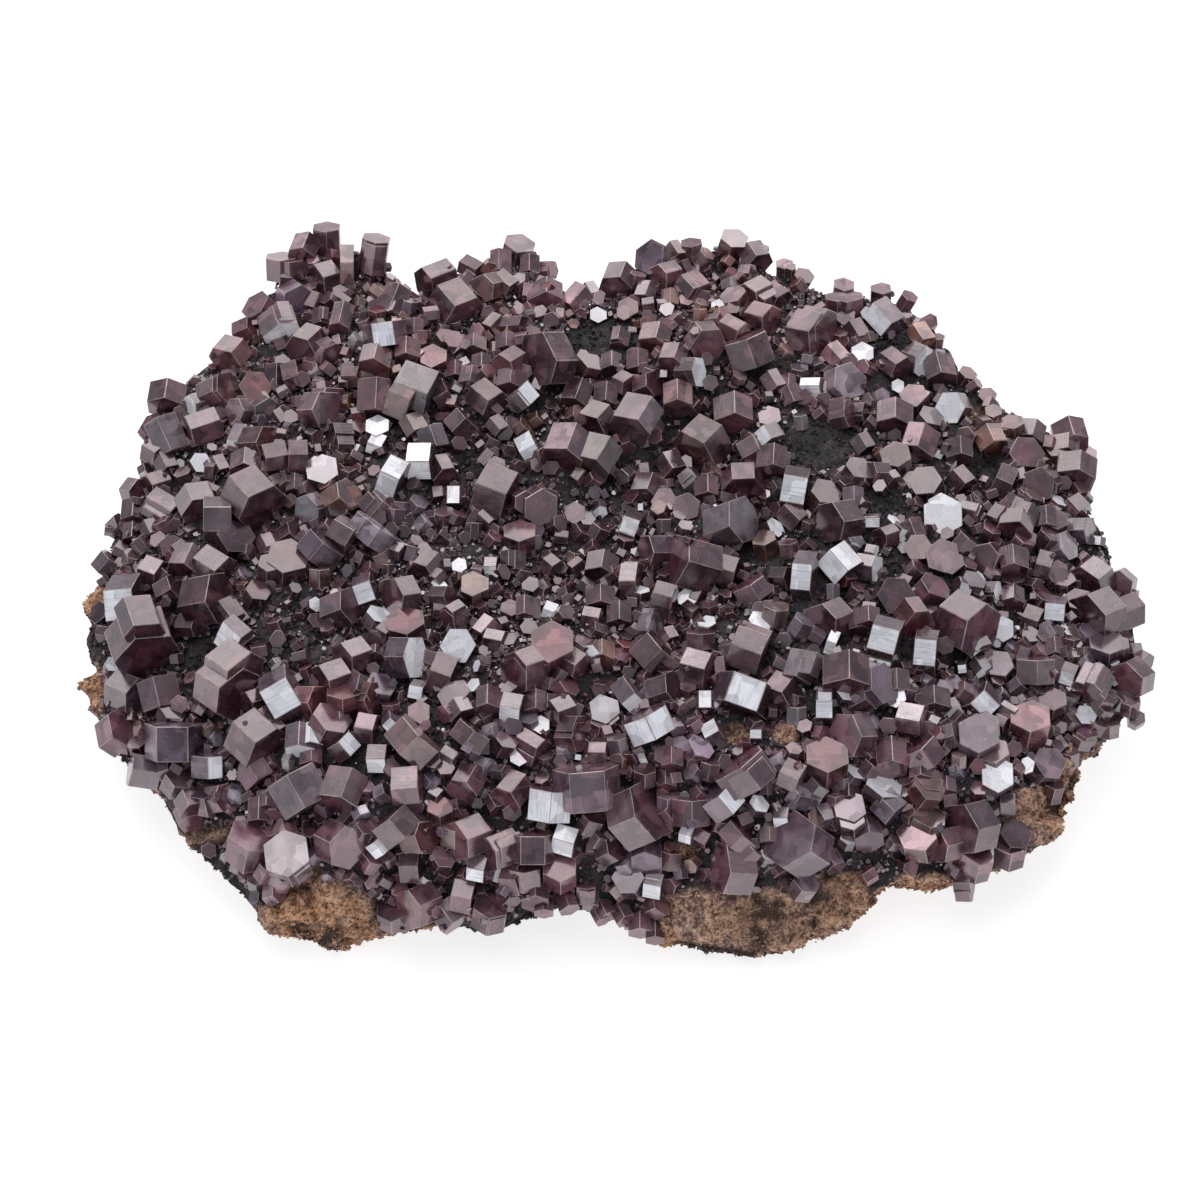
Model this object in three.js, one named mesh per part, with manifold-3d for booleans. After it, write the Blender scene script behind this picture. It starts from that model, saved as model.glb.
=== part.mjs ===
import * as THREE from 'three';
import { mergeVertices } from 'three/addons/utils/BufferGeometryUtils.js';
import Module from 'manifold-3d';

// A vanadinite specimen: a low plate of manganese-blackened rock, closely set with
// short six-sided prisms. Millimetres, +Z up, origin in the middle of the flat underside.

const wasm = await Module();
wasm.setup();

const degree = Math.PI / 180;

// The oblique view from above in which the places below are given: a column and a row
// of a 1200 by 1200 view whose middle looks at the aim point.
const viewElevation = 50 * degree;
const viewDistance = 460;
const viewMiddle = 600;
const mmPerStep = 0.14025;
const aim = new THREE.Vector3(-2.1, -1, 15);

// Rock form in millimetres
const crownHeight = 24;
const crownSlope = 0.05;
const shoulderPower = 5;
const footInset = 0.13;
const fullInsetHeight = 10;

// Long and short unevenness of the crown: height, and length along X and Y
const longRipple = { height: 0.9, alongX: 6.1, alongY: 5.3 };
const shortRipple = { height: 0.7, alongX: 3.7, alongY: 4.4 };

// Knolls on the crown and, with a negative height, hollows
const knolls = [
  { x: -36, y: 40, width: 13, height: 3.5 },
  { x: -11, y: 36, width: 11, height: 2.5 },
  { x: 16, y: 38, width: 12, height: 3 },
  { x: 62, y: -6, width: 13, height: -5 },
  { x: -55, y: -14, width: 5, height: -4 },
  { x: 0, y: 2, width: 14, height: -1.5 },
];

// Facets of the rock: steps round it, steps from crown to rim, down the side, under it
const stepsRound = 56;
const topSteps = 7;
const sideSteps = 2;
const underSteps = 1;

// Free gap between a separate crystal and what it is set in
const setGap = 0.35;
// Two separate crystals that share more than this much, in cubic millimetres, are one
const grownTogether = 0.6;
// How far a crystal stands out of the rock, as a share of its reach toward the viewer
const standOut = 0.55;
// Half the width of a prism lying on its side, as a share of its width across edges
const sideReach = 0.47;
// A line of sight is followed this far to each side of the aim point, in steps
const searchReach = 90;
const searchStep = 0.5;
// Corners closer than this are one corner
const sameCorner = 1e-5;

const toRight = new THREE.Vector3(1, 0, 0);
const toTop = new THREE.Vector3(0, Math.sin(viewElevation), Math.cos(viewElevation));
const toViewer = new THREE.Vector3(0, -Math.cos(viewElevation), Math.sin(viewElevation));
const eye = aim.clone().addScaledVector(toViewer, viewDistance);

// The rim: where it is seen, and its height above the ground in millimetres
const rimSeen = [
  rimPoint(1138, 670, 14),
  rimPoint(1118, 585, 16),
  rimPoint(1085, 500, 18),
  rimPoint(1058, 440, 20),
  rimPoint(1000, 408, 22),
  rimPoint(958, 372, 23),
  rimPoint(930, 325, 24),
  rimPoint(880, 300, 25),
  rimPoint(820, 292, 26),
  rimPoint(770, 275, 27),
  rimPoint(730, 248, 28),
  rimPoint(680, 255, 28),
  rimPoint(630, 272, 27),
  rimPoint(590, 308, 25),
  rimPoint(550, 285, 26),
  rimPoint(510, 265, 27),
  rimPoint(450, 278, 27),
  rimPoint(405, 303, 25),
  rimPoint(375, 265, 28),
  rimPoint(330, 248, 29),
  rimPoint(285, 275, 27),
  rimPoint(250, 322, 25),
  rimPoint(215, 362, 23),
  rimPoint(165, 402, 21),
  rimPoint(150, 440, 19),
  rimPoint(138, 490, 17),
  rimPoint(115, 540, 15),
  rimPoint(100, 590, 13),
  rimPoint(88, 640, 11),
  rimPoint(92, 690, 10),
  rimPoint(112, 740, 9),
  rimPoint(160, 800, 8),
  rimPoint(225, 880, 6),
  rimPoint(290, 935, 4),
  rimPoint(330, 947, 2),
  rimPoint(380, 930, 3),
  rimPoint(440, 920, 5),
  rimPoint(500, 922, 5),
  rimPoint(550, 900, 8),
  rimPoint(600, 897, 8),
  rimPoint(640, 925, 4),
  rimPoint(700, 945, 2),
  rimPoint(770, 948, 2),
  rimPoint(830, 936, 3),
  rimPoint(862, 900, 6),
  rimPoint(900, 878, 8),
  rimPoint(950, 882, 7),
  rimPoint(1000, 865, 7),
  rimPoint(1060, 832, 8),
  rimPoint(1078, 795, 9),
  rimPoint(1083, 755, 10),
  rimPoint(1115, 730, 11),
  rimPoint(1136, 700, 13),
];

// The largest crystals, each a piece of its own unless it grows through another
const largeCrystals = [
  crystal(348, 266, 6.8, 2, 180, 86),
  crystal(405, 400, 7.6, 3.4, 335, 82),
  crystal(418, 390, 7.6, 5.2, 340, 80),
  crystal(456, 307, 7, 5, 310, 60),
  crystal(548, 361, 8.6, 4.2, 185, 48),
  crystal(748, 352, 7.2, 4.4, 110, 78),
  crystal(636, 421, 7, 5, 240, 55),
  crystal(702, 446, 7.6, 4.4, 225, 60),
  crystal(810, 335, 7, 4.6, 345, 50),
  crystal(1073, 473, 6.8, 3.4, 260, 60),
  crystal(1095, 614, 7.6, 4.4, 200, 55),
  crystal(970, 825, 7.2, 4, 190, 55),
  crystal(692, 565, 8.4, 5.4, 165, 65),
  crystal(742, 695, 7.8, 4.2, 250, 78, 30),
  crystal(655, 655, 7, 3.6, 45, 80),
  crystal(805, 577, 7.4, 2.8, 355, 75, 30),
  crystal(794, 490, 7, 3.4, 350, 84, 30),
  crystal(965, 622, 8.4, 5.4, 330, 50),
  crystal(884, 642, 6.8, 3.8, 345, 78, 30),
  crystal(843, 677, 7.6, 4.4, 268, 60),
  crystal(730, 525, 7.4, 5, 20, 50),
  crystal(566, 450, 6.8, 5, 250, 55),
  crystal(497, 493, 8.4, 4.6, 338, 80),
  crystal(394, 480, 6.8, 3, 335, 82),
  crystal(648, 724, 7, 3.4, 115, 82),
  crystal(255, 500, 8, 5.4, 315, 55),
  crystal(131, 604, 8.6, 4.2, 5, 76, 30),
  crystal(148, 642, 9.8, 6, 295, 50),
  crystal(210, 600, 7.6, 5, 10, 58),
  crystal(230, 686, 8, 5.4, 330, 50),
  crystal(323, 550, 6.8, 3.2, 50, 80),
  crystal(288, 697, 8, 4.2, 30, 82, 30),
  crystal(179, 740, 8.6, 4.8, 90, 84, 30),
  crystal(258, 740, 7.6, 5, 320, 60),
  crystal(302, 791, 7.6, 5, 300, 84),
  crystal(290, 858, 6.8, 4, 100, 25),
  crystal(414, 742, 7.6, 3.6, 45, 84),
  crystal(588, 786, 8.7, 5.4, 95, 82, 30),
  crystal(636, 815, 8.8, 4.4, 25, 62),
  crystal(743, 773, 8.4, 3.6, 125, 82),
  crystal(798, 843, 8.2, 4.8, 145, 45),
  crystal(733, 868, 7.2, 4, 175, 68),
];

// Smaller crystals, grown fast to the rock
const smallerCrystals = [
  crystal(283, 268, 5.2, 3.4, 90, 68),
  crystal(306, 252, 4.6, 4, 255, 45),
  crystal(328, 240, 4.4, 3.8, 90, 62),
  crystal(296, 302, 5.6, 3.2, 325, 35),
  crystal(280, 326, 6, 3.4, 290, 65),
  crystal(262, 312, 5, 3, 135, 50),
  crystal(232, 356, 5.4, 3.6, 235, 50),
  crystal(170, 400, 6.6, 3.4, 265, 62),
  crystal(222, 394, 5.6, 4, 20, 55),
  crystal(170, 438, 5.6, 5.4, 295, 80),
  crystal(322, 412, 6.2, 3.6, 0, 45),
  crystal(308, 346, 5.6, 4, 230, 45),
  crystal(375, 255, 4.6, 5, 80, 65),
  crystal(394, 303, 4.6, 4.4, 250, 70),
  crystal(386, 335, 6.4, 3.4, 98, 85, 30),
  crystal(437, 281, 5.4, 4.6, 205, 60),
  crystal(518, 253, 4.8, 3.6, 75, 45),
  crystal(490, 289, 4.8, 4, 200, 35),
  crystal(545, 300, 5.6, 4, 270, 40),
  crystal(575, 301, 4.4, 4, 230, 70),
  crystal(618, 283, 5.2, 4, 250, 45),
  crystal(655, 262, 5.6, 3.4, 150, 35),
  crystal(732, 246, 4.6, 3, 70, 45),
  crystal(755, 258, 4.4, 3.2, 300, 55),
  crystal(665, 277, 4.4, 3.4, 200, 50),
  crystal(706, 342, 5.8, 3, 300, 35),
  crystal(733, 417, 6.4, 4.4, 270, 50),
  crystal(846, 306, 5, 3, 90, 62),
  crystal(884, 321, 5.6, 4.4, 310, 70),
  crystal(843, 385, 5.8, 3.4, 20, 30),
  crystal(938, 374, 5.4, 4, 280, 55),
  crystal(892, 421, 6, 3.8, 265, 55),
  crystal(917, 444, 5.6, 4, 250, 65),
  crystal(1067, 437, 5.4, 3.6, 280, 55),
  crystal(1063, 449, 4.6, 2.8, 262, 56),
  crystal(1013, 528, 5.6, 3.4, 250, 40),
  crystal(1090, 580, 6.4, 3.4, 215, 55),
  crystal(1118, 586, 5, 3, 200, 25),
  crystal(1121, 612, 5.4, 4, 200, 60),
  crystal(1130, 679, 5.8, 3.6, 200, 40),
  crystal(1033, 670, 6, 3.4, 90, 84),
  crystal(1027, 726, 6.2, 4.4, 85, 45),
  crystal(917, 840, 5.8, 3.6, 110, 35),
  crystal(975, 860, 5, 4, 80, 45),
  crystal(1006, 850, 5, 3.2, 85, 50),
  crystal(975, 738, 6.2, 3.6, 90, 30),
  crystal(632, 581, 5.6, 2.4, 0, 75),
  crystal(748, 650, 6.4, 4.4, 340, 80),
  crystal(698, 668, 6, 3.6, 345, 70),
  crystal(664, 602, 6, 3, 345, 80),
  crystal(840, 565, 6, 4, 310, 75),
  crystal(838, 522, 6.4, 4.2, 190, 50),
  crystal(942, 518, 6, 3, 90, 15),
  crystal(893, 598, 5.6, 3, 60, 15),
  crystal(925, 653, 6.4, 3, 355, 80, 30),
  crystal(828, 620, 6, 4, 200, 45),
  crystal(742, 484, 6.2, 3, 272, 52, 30),
  crystal(597, 458, 6.4, 4.6, 240, 60),
  crystal(552, 648, 6.6, 4, 90, 30),
  crystal(537, 506, 5.6, 4, 330, 20),
  crystal(423, 462, 6.4, 3.4, 0, 80),
  crystal(377, 536, 5.8, 3, 55, 82),
  crystal(402, 597, 6.4, 3, 190, 55),
  crystal(407, 656, 6.4, 3.2, 0, 60),
  crystal(444, 672, 6.4, 3, 340, 85),
  crystal(343, 610, 5.6, 4, 20, 55),
  crystal(525, 672, 6, 4, 200, 50),
  crystal(629, 694, 6, 2.4, 40, 82),
  crystal(200, 506, 6.4, 4, 300, 45),
  crystal(219, 521, 6.6, 3.9, 180, 84, 30),
  crystal(136, 514, 4.4, 3.2, 270, 60),
  crystal(109, 565, 4.4, 2.6, 50, 82),
  crystal(288, 566, 6.4, 4.4, 80, 40),
  crystal(130, 692, 5.6, 4.2, 340, 58),
  crystal(162, 694, 6.4, 4.2, 285, 80),
  crystal(120, 731, 6, 3.6, 35, 50),
  crystal(146, 770, 5.2, 4, 170, 75),
  crystal(344, 790, 6.4, 4.6, 250, 62),
  crystal(252, 845, 6.6, 4.4, 75, 50),
  crystal(340, 842, 6.4, 4, 340, 40),
  crystal(408, 784, 6, 3.6, 5, 84),
  crystal(398, 824, 6.4, 3.4, 130, 84),
  crystal(471, 735, 5.8, 2.6, 55, 84),
  crystal(551, 803, 6.6, 4.2, 85, 84),
  crystal(691, 810, 5.6, 3.6, 90, 82),
  crystal(722, 800, 5.6, 3.2, 130, 78),
  crystal(826, 762, 6.2, 3.6, 90, 40),
  crystal(533, 846, 6.2, 3.8, 90, 84, 30),
  crystal(449, 914, 4.4, 3.4, 310, 75),
  crystal(420, 905, 6, 4, 200, 50),
  crystal(393, 915, 4.4, 3, 90, 40),
  crystal(468, 835, 6, 4, 200, 55),
  crystal(491, 913, 5.2, 3.4, 80, 50),
  crystal(921, 752, 6, 3.2, 125, 75),
  crystal(851, 735, 6.2, 3.4, 180, 45),
  crystal(874, 686, 6, 3.4, 20, 45),
  crystal(408, 628, 5.6, 3, 100, 45),
  crystal(330, 725, 5.6, 3.6, 60, 50),
  crystal(1010, 838, 5, 3, 60, 40),
];

function rimPoint(column, row, height) {
  return { column, row, height };
}

// across: between opposite prism edges, tall: along the axis. The axis leans by lean
// degrees from the line to the viewer, toward the clock angle toward, counted from the
// right; spin turns the prism on its axis, 30 bringing a flat face to the viewer.
function crystal(column, row, across, tall, toward, lean, spin = 0) {
  return { column, row, across, tall, toward, lean, spin };
}

function sightLine(column, row) {
  const through = aim.clone()
    .addScaledVector(toRight, (column - viewMiddle) * mmPerStep)
    .addScaledVector(toTop, (viewMiddle - row) * mmPerStep);
  return new THREE.Ray(eye.clone(), through.sub(eye).normalize());
}

function placeAtHeight(column, row, height) {
  const line = sightLine(column, row);
  return line.at((height - line.origin.z) / line.direction.z, new THREE.Vector3());
}

const rim = rimSeen.map((seen) => {
  const place = placeAtHeight(seen.column, seen.row, seen.height);
  return {
    angle: Math.atan2(place.y, place.x),
    radius: Math.hypot(place.x, place.y),
    height: seen.height,
  };
}).sort((first, second) => first.angle - second.angle);

function rimAt(angle) {
  const after = rim.findIndex((point) => point.angle > angle);
  const next = after < 0 ? 0 : after;
  const last = (next + rim.length - 1) % rim.length;
  const fullTurn = 2 * Math.PI;
  const stretch = (rim[next].angle - rim[last].angle + fullTurn) % fullTurn;
  const share = ((angle - rim[last].angle + fullTurn) % fullTurn) / stretch;
  return {
    radius: THREE.MathUtils.lerp(rim[last].radius, rim[next].radius, share),
    height: THREE.MathUtils.lerp(rim[last].height, rim[next].height, share),
  };
}

// The crown rises toward the back and has ripples, knolls and hollows
function crownAt(x, y) {
  let height = crownHeight + crownSlope * y;
  height += longRipple.height * Math.sin(x / longRipple.alongX) * Math.cos(y / longRipple.alongY);
  height += shortRipple.height * Math.sin(x / shortRipple.alongX - y / shortRipple.alongY);
  for (const knoll of knolls) {
    const away = Math.hypot(x - knoll.x, y - knoll.y) / knoll.width;
    height += knoll.height * Math.exp(-away * away);
  }
  return height;
}

function topHeight(x, y) {
  const edge = rimAt(Math.atan2(y, x));
  const spread = Math.hypot(x, y) / edge.radius;
  const crown = crownAt(x, y);
  return edge.height + (crown - edge.height) * (1 - spread ** shoulderPower);
}

// A closed mesh with shared corners becomes a solid that can be joined and cut
function solidFrom(geometry) {
  geometry.deleteAttribute('normal');
  geometry.deleteAttribute('uv');
  const merged = mergeVertices(geometry, sameCorner);
  return new wasm.Manifold(new wasm.Mesh({
    numProp: 3,
    vertProperties: new Float32Array(merged.attributes.position.array),
    triVerts: new Uint32Array(merged.index.array),
  }));
}

// The bare rock is a sphere drawn out to the rim: its upper rings become the crown, the
// next the undercut side, and the last the flat underside
function rockSolid() {
  const rings = topSteps + sideSteps + underSteps;
  const sphere = new THREE.SphereGeometry(1, stepsRound, rings);
  sphere.rotateX(90 * degree);
  const places = sphere.attributes.position;
  for (let index = 0; index < places.count; index += 1) {
    const angle = Math.atan2(places.getY(index), places.getX(index));
    const fromPole = Math.acos(THREE.MathUtils.clamp(places.getZ(index), -1, 1));
    const ring = Math.round(fromPole / Math.PI * rings);
    const edge = rimAt(angle);
    const foot = 1 - footInset * Math.min(1, edge.height / fullInsetHeight);
    let spread = Math.sin(Math.min(1, ring / topSteps) * 90 * degree);
    let height = null;
    if (ring > topSteps && ring <= topSteps + sideSteps) {
      const down = (ring - topSteps) / sideSteps;
      spread = THREE.MathUtils.lerp(1, foot, down * down);
      height = edge.height * (1 - down);
    } else if (ring > topSteps) {
      spread = foot * (rings - ring) / underSteps;
      height = 0;
    }
    const x = Math.cos(angle) * edge.radius * spread;
    const y = Math.sin(angle) * edge.radius * spread;
    places.setXYZ(index, x, y, height ?? topHeight(x, y));
  }
  return solidFrom(sphere);
}

// Follows a line of sight until it meets the crown, or to where it passes closest
function meetsRock(column, row) {
  const line = sightLine(column, row);
  const place = new THREE.Vector3();
  let nearest = Infinity;
  let found = viewDistance;
  for (let along = viewDistance - searchReach; along < viewDistance + searchReach; along += searchStep) {
    line.at(along, place);
    const above = place.z < 0 ? Infinity : place.z - topHeight(place.x, place.y);
    if (above < nearest) {
      nearest = above;
      found = along;
    }
    if (above <= 0) {
      break;
    }
  }
  return line.at(found, new THREE.Vector3());
}

// Axis directions of a crystal: the prism's own X, Y and Z in the part's frame
function crystalAxes(piece) {
  const toward = piece.toward * degree;
  const lean = piece.lean * degree;
  const alongAxis = new THREE.Vector3()
    .addScaledVector(toRight, Math.sin(lean) * Math.cos(toward))
    .addScaledVector(toTop, Math.sin(lean) * Math.sin(toward))
    .addScaledVector(toViewer, Math.cos(lean));
  const sideways = new THREE.Vector3()
    .addScaledVector(toRight, -Math.sin(toward))
    .addScaledVector(toTop, Math.cos(toward));
  const facing = new THREE.Vector3().crossVectors(alongAxis, sideways);
  return new THREE.Matrix4().makeBasis(sideways, facing, alongAxis);
}

function crystalCentre(piece) {
  const lean = piece.lean * degree;
  const reach = Math.abs(Math.cos(lean)) * piece.tall / 2 + Math.sin(lean) * piece.across * sideReach;
  return meetsRock(piece.column, piece.row).addScaledVector(toViewer, reach * standOut);
}

// A six-sided prism in its place, grown by a margin on every face
function crystalSolid(piece, margin = 0) {
  const radius = piece.across / 2 + margin / Math.cos(30 * degree);
  const prism = new THREE.CylinderGeometry(radius, radius, piece.tall + 2 * margin, 6);
  prism.rotateX(90 * degree);
  prism.rotateZ(piece.spin * degree);
  prism.applyMatrix4(crystalAxes(piece));
  const centre = crystalCentre(piece);
  prism.translate(centre.x, centre.y, centre.z);
  return solidFrom(prism);
}

// Crystals that interpenetrate are joined; one that only comes close is cut back
function groupCrystals(pieces) {
  const groups = [];
  for (const piece of pieces) {
    let solid = crystalSolid(piece);
    let wide = crystalSolid(piece, setGap);
    const partners = groups.filter((group) => group.solid.intersect(solid).volume() > grownTogether);
    for (const group of groups.filter((other) => !partners.includes(other))) {
      solid = solid.subtract(group.wide);
    }
    solid = largestBody(solid);
    for (const partner of partners) {
      solid = solid.add(partner.solid);
      wide = wide.add(partner.wide);
      groups.splice(groups.indexOf(partner), 1);
    }
    groups.push({ solid: largestBody(solid), wide });
  }
  return groups;
}

function largestBody(solid) {
  const bodies = solid.decompose();
  return bodies.reduce((largest, body) => (body.volume() > largest.volume() ? body : largest));
}

function meshFrom(name, solid, material) {
  const result = solid.getMesh();
  const corners = new Float32Array(result.numVert * 3);
  for (let index = 0; index < result.numVert; index += 1) {
    const start = index * result.numProp;
    corners.set(result.vertProperties.subarray(start, start + 3), index * 3);
  }
  const geometry = new THREE.BufferGeometry();
  geometry.setAttribute('position', new THREE.BufferAttribute(corners, 3));
  geometry.setIndex(new THREE.BufferAttribute(result.triVerts, 1));
  geometry.computeBoundingBox();
  const centre = geometry.boundingBox.getCenter(new THREE.Vector3());
  geometry.translate(-centre.x, -centre.y, -centre.z);
  geometry.computeVertexNormals();
  const mesh = new THREE.Mesh(geometry, material);
  mesh.position.copy(centre);
  mesh.name = name;
  return mesh;
}

function rockMaterial() {
  return new THREE.MeshStandardMaterial({ color: 0x2f2b2b, roughness: 0.85, metalness: 0 });
}

function crystalMaterial() {
  return new THREE.MeshStandardMaterial({ color: 0x5b3434, roughness: 0.28, metalness: 0 });
}

const specimen = new THREE.Group();
const groups = groupCrystals(largeCrystals);

let matrix = rockSolid();
for (const piece of smallerCrystals) {
  matrix = matrix.add(crystalSolid(piece));
}
for (const group of groups) {
  matrix = matrix.subtract(group.wide);
}
specimen.add(meshFrom('matrix', largestBody(matrix), rockMaterial()));

groups.forEach((group, index) => {
  const name = `crystal_${String(index + 1).padStart(2, '0')}`;
  specimen.add(meshFrom(name, group.solid, crystalMaterial()));
});

export default specimen;
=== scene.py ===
import math

import bpy
import numpy as np
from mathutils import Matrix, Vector
from mathutils.kdtree import KDTree


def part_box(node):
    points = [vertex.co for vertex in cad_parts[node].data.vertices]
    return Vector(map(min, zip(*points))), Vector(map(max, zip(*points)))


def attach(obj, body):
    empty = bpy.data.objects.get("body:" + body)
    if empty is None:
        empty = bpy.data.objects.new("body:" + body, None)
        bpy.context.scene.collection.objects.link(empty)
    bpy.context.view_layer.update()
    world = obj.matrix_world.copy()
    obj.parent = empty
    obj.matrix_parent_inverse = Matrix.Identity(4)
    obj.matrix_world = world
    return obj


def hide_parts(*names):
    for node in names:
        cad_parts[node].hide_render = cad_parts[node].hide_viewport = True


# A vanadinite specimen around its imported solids: the rock with its crusts, and the crystals.
# Shapes are worked out in millimetres and put into the meshes in metres.

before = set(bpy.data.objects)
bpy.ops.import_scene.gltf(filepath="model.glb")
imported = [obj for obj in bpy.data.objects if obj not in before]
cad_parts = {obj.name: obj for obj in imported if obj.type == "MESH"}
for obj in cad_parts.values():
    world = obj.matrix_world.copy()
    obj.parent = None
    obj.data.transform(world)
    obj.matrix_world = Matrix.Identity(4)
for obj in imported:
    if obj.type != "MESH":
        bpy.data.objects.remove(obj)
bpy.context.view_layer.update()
mm = 0.001
chance = np.random.default_rng(40)

# The oblique view from above in which places on the specimen are given, in columns and
# rows of a 1200 by 1200 picture whose middle looks at the aim point
sight = {
    "elevation": math.radians(50),
    "distance": 460.0,
    "middle": 600.0,
    "mmPerStep": 0.14025,
    "aim": np.array([-2.1, -1.0, 15.0]),
}
toRight = np.array([1.0, 0.0, 0.0])
toTop = np.array([0.0, math.sin(sight["elevation"]), math.cos(sight["elevation"])])
toViewer = np.array([0.0, -math.cos(sight["elevation"]), math.sin(sight["elevation"])])
eye = sight["aim"] + toViewer * sight["distance"]

# Rock form: the rim as column, row and height, then the crown with its ripples and knolls
rockForm = {
    "crownHeight": 24.0, "crownSlope": 0.05, "shoulder": 5.0, "footInset": 0.13, "fullInset": 10.0,
    "longRipple": (0.9, 6.1, 5.3), "shortRipple": (0.7, 3.7, 4.4),
    "knolls": [
        (-36, 40, 13, 3.5), (-11, 36, 11, 2.5), (16, 38, 12, 3), (62, -6, 13, -5),
        (-55, -14, 5, -4), (0, 2, 14, -1.5),
    ],
    "rim": [
        (1138, 670, 14), (1118, 585, 16), (1085, 500, 18), (1058, 440, 20), (1000, 408, 22),
        (958, 372, 23), (930, 325, 24), (880, 300, 25), (820, 292, 26), (770, 275, 27),
        (730, 248, 28), (680, 255, 28), (630, 272, 27), (590, 308, 25), (550, 285, 26),
        (510, 265, 27), (450, 278, 27), (405, 303, 25), (375, 265, 28), (330, 248, 29),
        (285, 275, 27), (250, 322, 25), (215, 362, 23), (165, 402, 21), (150, 440, 19),
        (138, 490, 17), (115, 540, 15), (100, 590, 13), (88, 640, 11), (92, 690, 10),
        (109, 742, 9), (161, 800, 8), (226, 878, 6), (286, 937, 4), (330, 947, 2),
        (380, 930, 3), (440, 920, 5), (500, 922, 5), (550, 900, 8), (600, 897, 8),
        (640, 925, 4), (700, 945, 2), (770, 948, 2), (830, 936, 3), (862, 896, 6),
        (900, 872, 8), (950, 877, 7), (1000, 865, 7), (1060, 832, 8), (1078, 795, 9),
        (1083, 755, 10), (1115, 730, 11), (1136, 700, 13),
    ],
}

# Places without crystals: column, row, half width and half height in steps, and how ochre
barePlaces = [
    (318, 912, 56, 34, 1.0), (290, 880, 34, 22, 0.8), (350, 930, 34, 18, 1.0),
    (700, 915, 62, 28, 0.7), (770, 920, 78, 30, 0.8), (838, 900, 34, 30, 0.85),
    (655, 930, 22, 14, 0.9), (1022, 808, 24, 20, 0.8), (1058, 800, 26, 34, 0.9),
    (1072, 762, 14, 22, 0.8), (1048, 838, 26, 20, 0.6), (940, 880, 30, 10, 0.6),
    (96, 600, 12, 24, 0.9), (92, 690, 14, 28, 0.9),
    (92, 645, 12, 18, 0.1), (735, 735, 16, 10, 0.8), (785, 735, 14, 9, 0.8), (975, 415, 12, 8, 0.5),
    (685, 850, 12, 9, 0.8), (200, 835, 30, 12, 0.5), (150, 785, 20, 10, 0.5),
    (600, 352, 34, 36, 0.0), (770, 368, 28, 11, 0.0), (826, 446, 32, 22, 0.0),
    (896, 368, 22, 30, 0.0), (884, 503, 20, 11, 0.0), (203, 660, 18, 16, 0.0),
    (539, 406, 8, 10, 0.0), (980, 470, 18, 13, 0.0), (772, 655, 8, 13, 0.0), (372, 757, 14, 34, 0.0),
]

# Places where black crust shows between the crystals: as above, and how much of it
sparsePlaces = [
    (850, 600, 170, 150, 0.55), (690, 420, 170, 90, 0.5), (450, 470, 90, 60, 0.5),
    (385, 740, 90, 75, 0.5), (930, 440, 120, 80, 0.55), (250, 640, 90, 60, 0.4), (560, 800, 120, 60, 0.3),
]


def acrossSight(points):
    # Columns and rows at which points are seen: their offsets from the line of aim, scaled
    # by the viewing distance over their own distance
    offset = points - eye
    depth = -(offset @ toViewer)
    scale = sight["distance"] / depth / sight["mmPerStep"]
    columns = sight["middle"] + (offset @ toRight) * scale
    rows = sight["middle"] - (offset @ toTop) * scale
    return columns, rows


def sightLines(columns, rows):
    # Unit directions from the eye through picture places on the plane of the aim point
    across = (np.asarray(columns, float) - sight["middle"])[..., None] * sight["mmPerStep"]
    up = (sight["middle"] - np.asarray(rows, float))[..., None] * sight["mmPerStep"]
    through = sight["aim"] + across * toRight + up * toTop - eye
    return through / np.linalg.norm(through, axis=-1, keepdims=True)


rimTable = np.array(rockForm["rim"], float)
rimLines = sightLines(rimTable[:, 0], rimTable[:, 1])
rimPlaces = eye + rimLines * ((rimTable[:, 2] - eye[2]) / rimLines[:, 2])[:, None]
rimAngles = np.arctan2(rimPlaces[:, 1], rimPlaces[:, 0])
rimRadii = np.hypot(rimPlaces[:, 0], rimPlaces[:, 1])


def rimAt(angle):
    # Radius and height of the rim at a plan angle, in straight steps between the rim points
    radius = np.interp(angle, rimAngles, rimRadii, period=2 * math.pi)
    height = np.interp(angle, rimAngles, rimTable[:, 2], period=2 * math.pi)
    return radius, height


def crownAt(x, y):
    # Sloping crown height, plus two ripples, plus a bell for each knoll or hollow
    height = rockForm["crownHeight"] + rockForm["crownSlope"] * y
    tall, alongX, alongY = rockForm["longRipple"]
    height = height + tall * np.sin(x / alongX) * np.cos(y / alongY)
    tall, alongX, alongY = rockForm["shortRipple"]
    height = height + tall * np.sin(x / alongX - y / alongY)
    for knollX, knollY, width, tall in rockForm["knolls"]:
        height = height + tall * np.exp(-((x - knollX) ** 2 + (y - knollY) ** 2) / width ** 2)
    return height


def topHeight(x, y):
    # Between the crown and the rim's height, following one minus a power of the spread
    radius, rimHeight = rimAt(np.arctan2(y, x))
    spread = np.hypot(x, y) / radius
    return rimHeight + (crownAt(x, y) - rimHeight) * (1 - spread ** rockForm["shoulder"])


def meetsRock(columns, rows):
    # First place of a line of sight under the rock's top. A line that passes over the rim
    # gives its lowest place above the top within the rim, and how high that is
    directions = sightLines(columns, rows)
    along = np.arange(sight["distance"] - 90, sight["distance"] + 90, 0.5)
    places = eye + directions[:, None, :] * along[:, None]
    x, y, z = places[..., 0], places[..., 1], places[..., 2]
    above = z - topHeight(x, y)
    spread = np.hypot(x, y) / rimAt(np.arctan2(y, x))[0]
    overRim = np.where((z < 0) | (spread > 1), 99 + spread, above)
    under = (above <= 0) & (z >= 0)
    reaches = (under & (spread < 1.12)).any(axis=1)
    chosen = np.where(reaches, under.argmax(axis=1), overRim.argmin(axis=1))
    each = np.arange(len(chosen))
    return places[each, chosen], np.where(reaches, 0, np.clip(above[each, chosen], 0, 6))


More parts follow.
